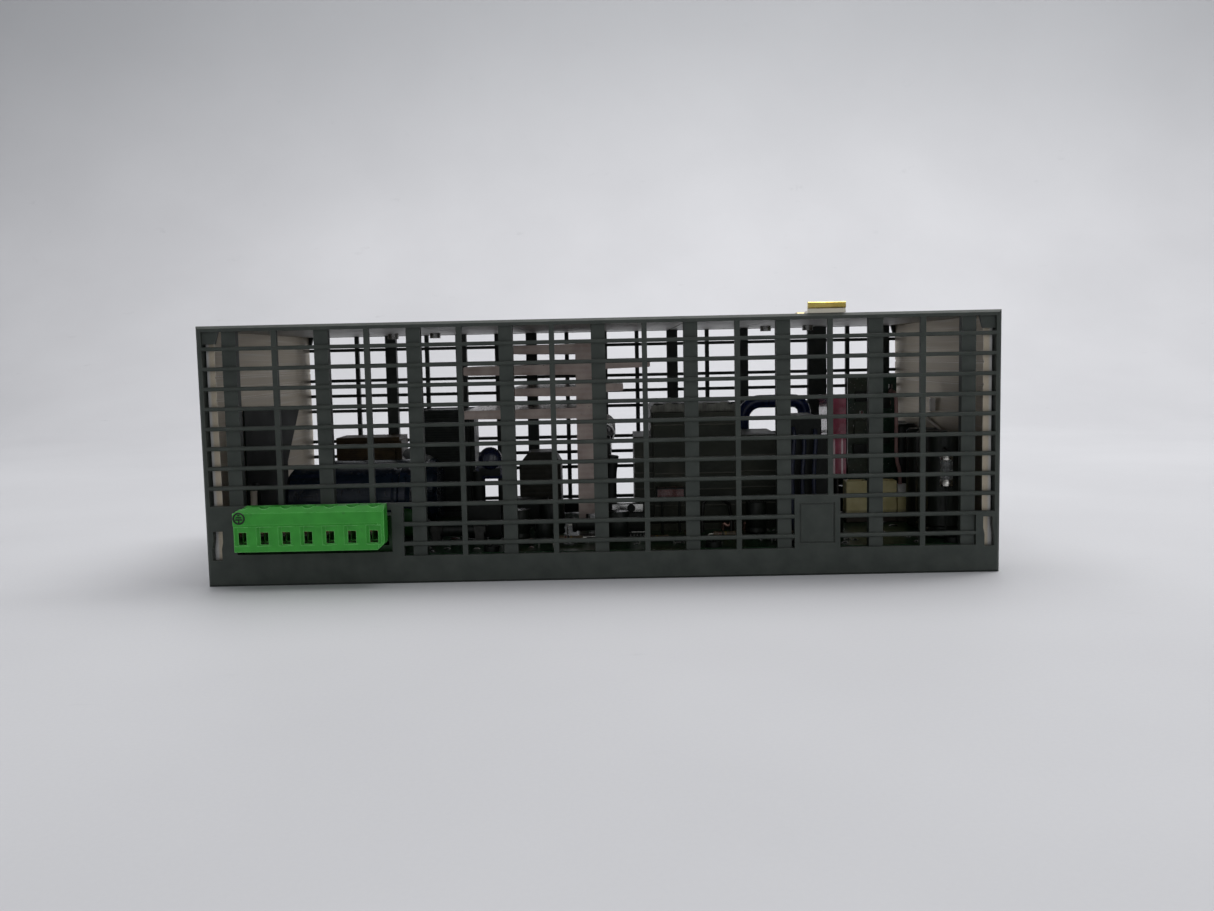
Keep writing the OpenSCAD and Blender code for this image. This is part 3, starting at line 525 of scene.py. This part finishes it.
class Shape:
    """Collects simple solids in one mesh, each with its own material."""

    def __init__(self):
        self.bm = bmesh.new()
        self.materials = []

    def paint(self, faces, material):
        """Gives faces a material, in a slot of its own."""
        if material not in self.materials:
            self.materials.append(material)
        for face in faces:
            face.material_index = self.materials.index(material)

    def box(self, material, low, high, edge=0.3):
        """A block between two corners, in millimetres, with rounded edges."""
        a, b = at(*low), at(*high)
        size = b - a
        place = Matrix.Translation((a + b) / 2) @ Matrix.Diagonal((*size, 1))
        verts = bmesh.ops.create_cube(self.bm, size=1, matrix=place)["verts"]
        faces = {f for v in verts for f in v.link_faces}
        self.paint(faces, material)
        if edge:
            edges = list({e for v in verts for e in v.link_edges})
            bmesh.ops.bevel(self.bm, geom=edges, offset=min(edge * MM, min(size) * 0.45), segments=2,
                            affect="EDGES", profile=0.6, clamp_overlap=True)

    def lathe(self, material, base, axis, outline, sides=28):
        """An outline of (radius, height) pairs, in millimetres, turned about an axis from a base point."""
        axis = Vector(axis).normalized()
        turn = Vector((0, 0, 1)).rotation_difference(axis).to_matrix()
        start = at(*base)
        angles = [2 * math.pi * k / sides for k in range(sides)]
        rings = []
        for r, h in outline:
            if r == 0:
                rings.append([self.bm.verts.new(start + axis * h * MM)])
                continue
            ring = [Vector((r * math.cos(a), r * math.sin(a), h)) * MM for a in angles]
            rings.append([self.bm.verts.new(start + turn @ point) for point in ring])
        faces = []
        for a, b in zip(rings, rings[1:]):
            for k in range(sides):
                q = (k + 1) % sides
                if len(a) == 1 and len(b) == 1:
                    continue
                if len(a) == 1:
                    faces.append(self.bm.faces.new((a[0], b[q], b[k])))
                elif len(b) == 1:
                    faces.append(self.bm.faces.new((a[k], a[q], b[0])))
                else:
                    faces.append(self.bm.faces.new((a[k], a[q], b[q], b[k])))
        for ring, flip in ((rings[0], True), (rings[-1], False)):
            if len(ring) > 1:
                faces.append(self.bm.faces.new(list(reversed(ring)) if flip else ring))
        self.paint(faces, material)

    def tube(self, material, path, radius, sides=10, smooth=6):
        """A round wire through points in millimetres, rounded between them."""
        points = [at(*p) for p in path]
        line = []
        for i in range(len(points) - 1):
            p0, p1, p2 = points[max(i - 1, 0)], points[i], points[i + 1]
            p3 = points[min(i + 2, len(points) - 1)]
            for j in range(smooth):
                t = j / smooth
                line.append(0.5 * (2 * p1 + (p2 - p0) * t + (2 * p0 - 5 * p1 + 4 * p2 - p3) * t * t
                                   + (3 * p1 - p0 - 3 * p2 + p3) * t ** 3))
        line.append(points[-1])
        normal = (line[1] - line[0]).orthogonal().normalized()
        rings = []
        for i, p in enumerate(line):
            along = (line[min(i + 1, len(line) - 1)] - line[max(i - 1, 0)]).normalized()
            normal = (normal - along * normal.dot(along)).normalized()
            side = along.cross(normal)
            rings.append([self.bm.verts.new(p + (normal * math.cos(a) + side * math.sin(a)) * radius * MM)
                          for a in (2 * math.pi * k / sides for k in range(sides))])
        faces = [self.bm.faces.new((a[k], a[(k + 1) % sides], b[(k + 1) % sides], b[k]))
                 for a, b in zip(rings, rings[1:]) for k in range(sides)]
        faces += [self.bm.faces.new(list(reversed(rings[0]))), self.bm.faces.new(rings[-1])]
        self.paint(faces, material)

    def sheet(self, material, corners, thickness=0.2):
        """A thin flat plate through points in millimetres."""
        pts = [at(*c) for c in corners]
        normal = (pts[1] - pts[0]).cross(pts[2] - pts[0]).normalized() * thickness * MM / 2
        front = [self.bm.verts.new(p + normal) for p in pts]
        back = [self.bm.verts.new(p - normal) for p in pts]
        faces = [self.bm.faces.new(front), self.bm.faces.new(list(reversed(back)))]
        n = len(pts)
        faces += [self.bm.faces.new((front[k], back[k], back[(k + 1) % n], front[(k + 1) % n]))
                  for k in range(n)]
        self.paint(faces, material)

    def finish(self, name, body="housing"):
        """Makes the piece, which rides on a body of the frame."""
        bmesh.ops.recalc_face_normals(self.bm, faces=self.bm.faces)
        mesh = bpy.data.meshes.new(name)
        self.bm.to_mesh(mesh)
        self.bm.free()
        for material in self.materials:
            mesh.materials.append(material)
        mesh.shade_smooth()
        mesh.set_sharp_from_angle(angle=math.radians(38))
        o = bpy.data.objects.new(name, mesh)
        scene.collection.objects.link(o)
        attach(o, body)
        return o


def small_can(shape, x, y, r, h):
    """An upright electrolytic capacitor: black sleeve with a crimp groove, bare top with a vent cross."""
    z = BOARD_TOP + 0.4
    shape.lathe(BLACK_SLEEVE, (x, y, z), (0, 0, 1), [
        (0, 0), (r - 0.3, 0), (r, 0.3), (r, 1.3), (r - 0.35, 1.8), (r - 0.35, 2.2), (r, 2.7),
        (r, h - 0.4), (r - 0.3, h), (r - 0.6, h), (r - 0.6, h - 0.25), (0, h - 0.25)])
    shape.lathe(CAN_TOP, (x, y, z + h - 0.24), (0, 0, 1), [
        (0, 0), (r - 0.65, 0), (r - 0.65, 0.12), (0, 0.12)])
    for dx, dy in ((r - 1, 0.12), (0.12, r - 1)):
        shape.box(BLACK, (x - dx, y - dy, z + h - 0.14), (x + dx, y + dy, z + h - 0.09), 0)


def film_box(shape, material, low, high, top):
    """A moulded box part between two corners in plan, up to a height, just off the board on two legs."""
    foot = BOARD_TOP + 0.6
    shape.box(material, (*low, foot), (*high, top), 0.6)
    for share in (0.2, 0.8):
        x, y = low[0] + (high[0] - low[0]) * share, (low[1] + high[1]) / 2
        shape.tube(TIN, [(x, y, BOARD_TOP - 0.2), (x, y, foot + 0.3)], 0.35, 8, 1)


def resistor(shape, x, y, length, axis, z=BOARD_TOP + 1.6, r=1.1, body=RESISTOR,
             stripes=(BROWN, BLACK, YELLOW)):
    """A lying axial resistor with colour bands and bent leads."""
    d = Vector((1, 0, 0)) if axis == "x" else Vector((0, 1, 0))
    start = Vector((x, y, z)) - d * length / 2
    shape.lathe(body, tuple(start), tuple(d), [
        (0, 0), (r * 0.7, 0), (r, 0.5), (r, 1.4), (r * 0.82, 2), (r * 0.82, length - 2), (r, length - 1.4),
        (r, length - 0.5), (r * 0.7, length), (0, length)], 16)
    for i, material in enumerate(stripes):
        base = start + d * (2.2 + i * 1.1)
        shape.lathe(material, tuple(base), tuple(d), [
            (r * 0.8, 0), (r * 0.86, 0), (r * 0.86, 0.55), (r * 0.8, 0.55)], 16)
    for end, sign in ((start, -1), (start + d * length, 1)):
        out = end + d * 1.8 * sign
        shape.tube(TIN, [tuple(end), tuple(end + d * 1.2 * sign), tuple(out - Vector((0, 0, 0.5))),
                         (out.x, out.y, BOARD_TOP - 0.2)], 0.3, 8)


# Lying fuse in its two clips
s = Shape()
s.lathe(BLACK_SLEEVE, (76, 24, 15), (1, 0, 0), [(0, 1), (2.3, 1), (2.3, 19), (0, 19)])
for x in (75.4, 91.6):
    s.lathe(DULL_STEEL, (x, 24, 15), (1, 0, 0), [
        (0, 0), (2.3, 0), (2.65, 0.3), (2.65, 4.6), (2.3, 4.9), (0, 4.9)])
    for dy in (-1, 1):
        s.sheet(DULL_STEEL, [(x + 0.8, 24 + 2.8 * dy, BOARD_TOP), (x + 4, 24 + 2.8 * dy, BOARD_TOP),
                             (x + 4, 24 + 2.8 * dy, 16.6), (x + 0.8, 24 + 2.8 * dy, 16.6)], 0.35)
s.finish("input_fuse")

# Boxed film capacitors, two more upright box parts, and a thin black block of painted shade
s = Shape()
film_box(s, BLACK, (88, 34), (101, 43), 23)
film_box(s, YELLOW, (20, 20), (38, 29), 22)
film_box(s, BLACK, (42, 20), (58, 30), 20)
s.box(BROWN, (160.7, 38, 23.4), (172, 43, 27.5), 0.6)
for x in (163, 169.8):
    s.tube(BLACK, [(x, 40.5, 23.8), (x, 40.5, BOARD_TOP - 0.2)], 0.5, 8, 1)
film_box(s, BLACK, (121, 98), (131.5, 104), 15.3)
# Painted shade: thin tall black block behind the red film capacitor, filling a gap that shows only shade.
film_box(s, BLACK, (228.6, 67), (232, 70), 50)
film_box(s, BLACK, (104, 62), (117, 72), 21)
s.finish("film_capacitors")

# Surge discs, one raised on a sleeved part between thick black leads
s = Shape()
s.lathe(DISC_BLUE, (93.6, 61.2, 38.6), (0.1, 1, -0.25), [
    (0, 0), (2.4, 0.2), (3.9, 1.0), (4.8, 2.4), (4.8, 3.4), (3.9, 4.8), (2.4, 5.6), (0, 5.8)], 32)
s.box(BLACK, (88, 62.2, 29.6), (99.4, 66.4, 35.6), 1.4)
for x, r in ((89.0, 2.6), (98.2, 1.4)):
    s.tube(BLACK, [(x, 64.4, 33), (x, 64.4, 27), (x, 64.4, 18), (x, 64.4, BOARD_TOP - 0.1)], r, 14)
s.lathe(HEADER_GREEN_SHADED, (64, 33, 16.5), (0.3, 1, 0), [
    (0, 0), (4, 0.1), (5.2, 0.8), (5.6, 1.8), (5.2, 2.8), (4, 3.5), (0, 3.6)], 36)
for side in (-1, 1):
    s.tube(TIN, [(64.5 + 2.6 * side, 34.8, 12), (64.5 + 2.6 * side, 34.8, BOARD_TOP - 0.2)], 0.45, 8, 2)
s.finish("surge_discs")

# Small upright electrolytic capacitors
s = Shape()
for x, y, r, h in ((108, 34, 4, 11), (120, 44, 5, 12), (118, 24, 3.2, 8), (146, 24, 4, 11), (199, 36, 4, 12),
                   (226, 24, 4, 9), (249, 92, 5, 15), (243, 80, 4, 12),
                   (98, 74, 3.2, 9), (176, 112, 5, 14), (163, 110, 4, 12)):
    small_can(s, x, y, r, h)
s.finish("small_capacitors")

# Lying resistors, and a thick black one
s = Shape()
for x, y, length, axis in ((110, 18, 9, "x"), (128, 18, 9, "x"), (128, 23, 9, "x"), (160, 20, 9, "x"),
                           (186, 26, 9, "x"), (214, 24, 9, "x"), (96, 52, 9, "y"), (101, 52, 9, "y"),
                           (226, 72, 9, "y"), (231, 78, 9, "y"), (76, 34, 7, "y"), (172, 28, 9, "y")):
    resistor(s, x, y, length, axis)
resistor(s, 136, 38, 16, "x", z=BOARD_TOP + 4.2, r=2.8, body=BLACK, stripes=())
s.finish("resistors")

# Scatter of small chips on their pads, clear of the large parts, and five chips with legs
s = Shape()
keep_clear = [(12, 38, 72, 97), (20, 96, 52, 121), (58, 96, 86, 121), (102, 85, 123, 107),
              (128, 47, 146, 121), (148, 45, 211, 93), (210, 36, 227, 63), (236, 55, 270, 73),
              (258, 12, 274, 116), (8, 2, 70, 18), (176, 108, 222, 123), (96, 3, 104, 12),
              (176, 3, 184, 12), (262, 3, 270, 12)]
chips = 0
while chips < SMALL_CHIPS:
    x, y = rng.uniform(10, 270), rng.uniform(9, 116)
    if any(x0 < x < x1 and y0 < y < y1 for x0, y0, x1, y1 in keep_clear):
        continue
    w, d = rng.choice(((1.6, 0.8), (0.8, 1.6), (2.0, 1.25), (1.25, 2.0), (3.2, 1.6)))
    body = rng.choice((BLACK, CERAMIC, BROWN, BLACK, GREY, BLACK))
    z = BOARD_TOP
    s.box(SOLDER, (x - w / 2 - 0.25, y - d / 2, z - 0.02), (x + w / 2 + 0.25, y + d / 2, z + 0.3), 0.08)
    s.box(body, (x - w / 2 + 0.2, y - d / 2 - 0.04, z), (x + w / 2 - 0.2, y + d / 2 + 0.04, z + 0.55), 0.08)
    chips += 1
for x, y, w, d in ((136, 26, 10, 6.2), (206, 20, 10, 6.2), (226, 66, 6, 5), (153, 34, 7, 5), (90, 66, 6, 5)):
    s.box(BLACK, (x - w / 2, y - d / 2, BOARD_TOP + 0.3), (x + w / 2, y + d / 2, BOARD_TOP + 2.2), 0.25)
    legs = int(w / LEG_PITCH)
    for k in range(legs):
        lx = x + (k - (legs - 1) / 2) * LEG_PITCH
        for side in (-1, 1):
            bends = ((-0.1, 1.2), (0.6, 1.1), (0.8, 0.2), (1.4, 0.15))
            s.tube(SOLDER, [(lx, y + side * (d / 2 + out), BOARD_TOP + up) for out, up in bends], 0.2, 6, 3)
s.finish("board_chips")

# Upright control board: chips, small parts and a row of bent pins at its foot
s = Shape()
for x, z, w, h in ((247, 60, 5, 4), (256.5, 58, 4, 6), (247, 38, 7, 5), (257, 43, 3, 5), (245, 26, 4, 3)):
    s.box(BLACK, (x - w / 2, 67.9, z - h / 2), (x + w / 2, 69.3, z + h / 2), 0.2)
for k in range(14):
    x, z = rng.uniform(242.5, 260.5), rng.uniform(14, 67)
    w, h = rng.choice(((1.6, 0.8), (0.8, 1.6), (1.25, 2)))
    s.box(SOLDER, (x - w / 2 - 0.2, 69.1, z - h / 2), (x + w / 2 + 0.2, 69.42, z + h / 2), 0.06)
    s.box(rng.choice((BLACK, BROWN)), (x - w / 2 + 0.15, 68.9, z - h / 2 - 0.03),
          (x + w / 2 - 0.15, 69.4, z + h / 2 + 0.03), 0.06)
for k in range(8):
    x = 243 + k * 2.2
    s.tube(TIN, [(x, 68.6, 12.5), (x, 68.2, 11.6), (x, 67.4, 11), (x, 67.2, BOARD_TOP - 0.2)], 0.3, 8, 3)
s.finish("control_board_chips")

# Clips that press the transistors to the heat sink: a washer, stepped grey leaves and two bent wires
s = Shape()
step = 0.85
for y in (58, 76, 94, 111):
    s.lathe(PALE_STEEL, (141.7, y, 41), (1, 0, 0), [
        (0, 0), (2.6, 0), (2.9, 0.3), (2.9, 1.2), (2.4, 1.9), (1.1, 2.1), (1.1, 1.2), (0, 1.2)])
    for k in range(6):
        x, z = 140 + step * k, 47.2 + 0.1 * k
        s.sheet(GREY, [(x, y - 8, z), (x + step, y - 8, z + 0.5), (x + step, y + 8, z + 0.5),
                       (x, y + 8, z)], 0.25)
    for wire_y in (y - 5, y + 5):
        bends = ((138.6, 50), (142, 52), (145, 49), (143.8, 45))
        s.tube(PALE_STEEL, [(x, wire_y, z) for x, z in bends], 0.5)
s.finish("transistor_clips")

# Earthing bracket on a black block, with a thick sleeved lead beside it
s = Shape()
s.box(BLACK, (143.3, 40.4, BOARD_TOP), (156, 42.2, 18), 0.3)
s.box(PALE_STEEL, (143.3, 39.8, 17.8), (156, 43.2, 21.6), 0.4)
s.lathe(BLACK, (151, 39.9, 19.7), (0, -1, 0), [(0, 0), (1.5, 0), (1.6, 0.12), (0, 0.12)], 20)
s.tube(BLACK, [(143.5, 45, BOARD_TOP - 0.1), (143.5, 45, 20), (143.6, 44.8, 32), (144.6, 44.6, 40)], 2.0, 16)
s.finish("earth_bracket")

# Main transformer: crumpled tape at its top, pins, copper ends and dull leads
s = Shape()
edge = [(159.8, 58.6)]
for k in range(30):
    edge.append((159.8 + 33 * (k + 1) / 30, 59.3 + rng.uniform(-0.5, 0.8)))
for (x0, z0), (x1, z1) in zip(edge, edge[1:]):
    s.sheet(CRUMPLED, [(x0, 49.7, 56.2), (x1, 49.7, 56.2), (x1, 49.1, z1), (x0, 49.3, z0)], 0.12)
for k in range(9):
    y = 52 + k * 4.2
    s.tube(TIN, [(153, y, 12.4), (151, y, 12.2), (149.4, y, 11), (149.4, y, BOARD_TOP - 0.1)], 0.45, 8, 3)
    s.tube(COPPER, [(154.5, y, 13), (152, y, 13.4), (151, y, 12.4)], 0.55, 8, 4)
for x in (188.8, 197.2):
    s.tube(PINK_COPPER, [(x - 1.8, 44, 9.8), (x - 1.5, 43.4, 12.4), (x, 43.2, 11.4), (x + 1.5, 43.4, 12.6),
                         (x + 1.8, 44, 9.8)], 0.75)
s.tube(DULL_STEEL, [(179, 40, 21), (182, 39, 23.5), (186, 39, 22.6), (189, 41, 20.5)], 0.7)
s.tube(DULL_STEEL, [(179, 40, 21), (178.6, 40.4, 15), (178.6, 40.4, BOARD_TOP - 0.1)], 0.7)
s.tube(DULL_STEEL, [(189, 41, 20.5), (190, 42, 15), (190, 42, BOARD_TOP - 0.1)], 0.7)
s.finish("transformer_leads")

# Wound ring behind the transformer, and navy leads before the output choke
s = Shape()
ring_at, ring, core, turns = Vector((172, 100, 19.9)), 6.4, 2.3, 34
for k in range(turns):
    a = 2 * math.pi * k / turns
    d = Vector((math.cos(a), 0, math.sin(a)))
    loop = []
    for j in range(9):
        b = 2 * math.pi * j / 8
        loop.append(tuple(ring_at + d * (ring + 2.7 * math.cos(b)) + Vector((0, 2.7 * math.sin(b), 0))))
    s.tube(COPPER, loop, 0.45, 6, 2)
s.lathe(CORE_BLUE, tuple(ring_at - Vector((0, 2, 0))), (0, 1, 0), [
    (ring - core, 0), (ring + core, 0), (ring + core, 4), (ring - core, 4), (ring - core, 0)], 40)
for x, z in ((213.4, 50), (217.2, 47), (221.6, 49)):
    s.tube(NAVY, [(x, 36.2, z), (x + 0.2, 34.8, z - 4), (x - 0.6, 34.7, z - 18),
                  (x, 35, BOARD_TOP - 0.1)], 0.8, 10)
s.finish("output_ring_choke")

# Glass fuse on end, with its leads
s = Shape()
s.lathe(GLASS, (264.3, 10.6, 31), (0, 0, 1), [(2.1, 0), (2.1, 9.2)], 28)
s.tube(DULL_STEEL, [(264.3, 10.6, 31.5), (264.5, 10.7, 35), (264.2, 10.5, 39.5)], 0.3, 8)
for z in (29.2, 38.6):
    s.lathe(TIN, (264.3, 10.6, z), (0, 0, 1), [
        (0, 0), (1.7, 0), (2.3, 0.5), (2.3, 2.4), (2.0, 2.9), (0, 2.9)], 28)
s.tube(DULL_STEEL, [(264.3, 10.6, 41.2), (264.3, 11.4, 42.6), (264.3, 14, 42.8), (264.3, 16.4, 40),
                    (264.3, 16.8, BOARD_TOP - 0.1)], 0.4)
s.tube(BLACK, [(264.3, 10.6, 29.4), (264.3, 10.6, BOARD_TOP - 0.1)], 0.4, 8, 2)
s.finish("upright_fuse")

# White tag and its wire at the right wall, and the sleeved lead near the left one
s = Shape()
s.box(WHITE, (272.2, 58.4, 54), (274.3, 59.6, 59.3), 0.15)
s.tube(BEIGE, [(273.8, 72, 51), (273.6, 66, 50.3), (273.6, 58, 48.8), (273.7, 50, 47.4), (273.2, 47.6, 46.4),
               (272.8, 47.4, 44)], 0.5)
s.tube(BEIGE, [(273.9, 61.6, 54.2), (273.8, 62.4, 52), (273.7, 64, 50.6)], 0.4)
s.tube(BEIGE, [(10.8, 21, BOARD_TOP - 0.1), (10.8, 21, 16), (10.6, 20.8, 26), (10.7, 20.9, 31.6)], 1.25)
s.tube(BLACK, [(10.7, 20.9, 31), (10.7, 21.4, 33), (10.8, 23.6, 33.6), (10.9, 26.4, 31),
               (11, 27, BOARD_TOP - 0.1)], 0.55)
s.finish("sensor_and_leads")

# Plug on the low control header, with its pink wire
s = Shape()
s.box(WHITE, (259.4, 58.6, 19.5), (263.4, 62.6, 24.6), 0.3)
s.tube(PINK, [(260.6, 60, 24.2), (260.2, 59.4, 30), (258.8, 58.6, 36), (258.6, 58.4, 50), (258.8, 60, 60),
              (258.6, 66, 62.2), (258.6, 68.9, 61.8)], 0.75, 12)
s.finish("control_lead")

# Silicone that holds the lying capacitors and the choke together
s = Shape()
for x, y, z, r in ((55.5, 97, 37.5, 4.2), (62, 95, 35, 3.6)):
    steps = [(r * math.sin(math.pi * k / 8) * (1 + 0.06 * math.sin(5 * k)),
              r * (1 - math.cos(math.pi * k / 8)) * 0.7) for k in range(9)]
    steps[0], steps[-1] = (0, steps[0][1]), (0, steps[-1][1])
    s.lathe(SILICONE, (x, y, z - r * 0.7), (0.1, 0.2, 1), steps, 24)
s.finish("silicone_beads")

# Solder joints on the board's underside
s = Shape()
joints = [(15.25 + POLE_PITCH * i, 15.9) for i in range(7)]
joints += [(214.35 - POLE_PITCH * i, 109.1) for i in range(4)]
joints += [(rng.uniform(12, 268), rng.uniform(12, 113)) for _ in range(90)]
for x, y in joints:
    s.lathe(SOLDER, (x, y, 8.02), (0, 0, -1), [
        (0, 0), (1.1, 0), (0.8, 0.35), (0.4, 0.8), (0.25, 1.1), (0, 1.15)], 12)
s.finish("solder_joints")

# Printed earth sign at the left of the input plug: a ring with stepped bars that stand on a stem
s = Shape()
sx, sy, sz, radius = 14.6, -7.74, 25.4, 1.85
angles = [2 * math.pi * k / 24 for k in range(25)]
s.tube(INK, [(sx + radius * math.cos(a), sy, sz + radius * math.sin(a)) for a in angles], 0.31, 6, 1)
for half, dz in ((1.2, -0.45), (0.95, 0.32), (0.35, 1.1)):
    s.tube(INK, [(sx - half, sy, sz + dz), (sx + half, sy, sz + dz)], 0.27, 6, 1)
s.tube(INK, [(sx, sy, sz - 1.75), (sx, sy, sz - 0.45)], 0.28, 6, 1)
s.finish("earth_sign", "input_plug")

# Latch coil spring, drawn in place of the CAD spring, which is hidden
s = Shape()
x, z, turns, steps, length, radius = 219.6, 93.5, 7, 14, 11.0, 1.1
coil = [(x + radius * math.cos(2 * math.pi * k / steps), 17.7 + length * k / (steps * turns),
         z + radius * math.sin(2 * math.pi * k / steps)) for k in range(steps * turns + 1)]
s.tube(SPRING_STEEL, coil, 0.26, 8, 1)
spring = s.finish("latch_coil_spring")
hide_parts("latch_spring")
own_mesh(spring)


# ---- Studio ------------------------------------------------------------------

def backdrop():
    """A pale sweep: flat floor that curves up into a wall behind the object."""
    s = Surface("backdrop", (0.585, 0.585, 0.605), (0.625, 0.625, 0.645), patch=5, rough=(0.5, 0.7),
                grain=900, bump=0.04)
    scuffs = s.math("MULTIPLY", s.noise(28, (1, 3, 1), 0.68, 0.76), s.noise(160, low=0.4, high=0.6))
    s.over((0.42, 0.42, 0.44), scuffs, amount=0.25)
    # Painted shade: the sweep darkens with height, in place of light falling off towards its top.
    s.over((0.40, 0.41, 0.425), s.span(s.along(2), 0.24, 0.75, 0, 1))
    start, radius, top, reach = 0.62, 0.6, 3.5, 25
    angles = [math.pi / 2 * k / 16 for k in range(17)]
    profile = [(-reach, 0)] + [(start + radius * math.sin(a), radius - radius * math.cos(a)) for a in angles]
    profile.append((start + radius, top))
    mesh = bpy.data.meshes.new("backdrop")
    verts = [(x, y, z) for y, z in profile for x in (-reach, reach)]
    mesh.from_pydata(verts, [], [(2 * i, 2 * i + 1, 2 * i + 3, 2 * i + 2) for i in range(len(profile) - 1)])
    mesh.shade_smooth()
    mesh.materials.append(s.done())
    o = bpy.data.objects.new("backdrop", mesh)
    scene.collection.objects.link(o)


def area_light(name, place, target, size, power, colour=(1, 1, 1)):
    """A rectangular light at one place that looks at another."""
    data = bpy.data.lights.new(name, "AREA")
    data.shape = "RECTANGLE"
    data.size, data.size_y = size
    data.energy = power
    data.color = colour
    o = bpy.data.objects.new(name, data)
    o.location = place
    o.rotation_euler = (Vector(target) - Vector(place)).to_track_quat("-Z", "Y").to_euler()
    scene.collection.objects.link(o)


backdrop()
area_light("overhead", (0.1, 0.35, 1.5), (0, 0.05, 0), (1.8, 1.2), 19)
area_light("front_fill", (0.35, -1.7, 0.75), (0, 0, 0.05), (1.6, 1.0), 3.0, (0.98, 0.99, 1))
area_light("wall_light", (0.75, 0.3, 1.5), (0.45, 1.2, 0.3), (1.2, 0.5), 8)

world = bpy.data.worlds.new("studio")
world.use_nodes = True
world.node_tree.nodes["Background"].inputs["Color"].default_value = (0.94, 0.96, 1, 1)
world.node_tree.nodes["Background"].inputs["Strength"].default_value = 0.31
scene.world = world
scene.view_settings.view_transform = "Standard"
scene.view_settings.look = "None"

# The camera at the photo's angle, nearly square on the input face and a little above it
forward = Vector((-0.0078, 0.9959, -0.0899)).normalized()
right = Vector((0.9998, 0.0059, -0.0212))
right = (right - forward * right.dot(forward)).normalized()
up = right.cross(forward)
place = Vector((0.0053, -0.4410, 0.0782))
camera = bpy.data.objects.new("camera", bpy.data.cameras.new("camera"))
camera.data.lens = 32.17
camera.data.sensor_width = 36
camera.data.clip_start = 0.01
camera.matrix_world = Matrix((
    (right.x, up.x, -forward.x, place.x),
    (right.y, up.y, -forward.y, place.y),
    (right.z, up.z, -forward.z, place.z),
    (0, 0, 0, 1)))
scene.collection.objects.link(camera)
scene.camera = camera

bpy.context.view_layer.update()
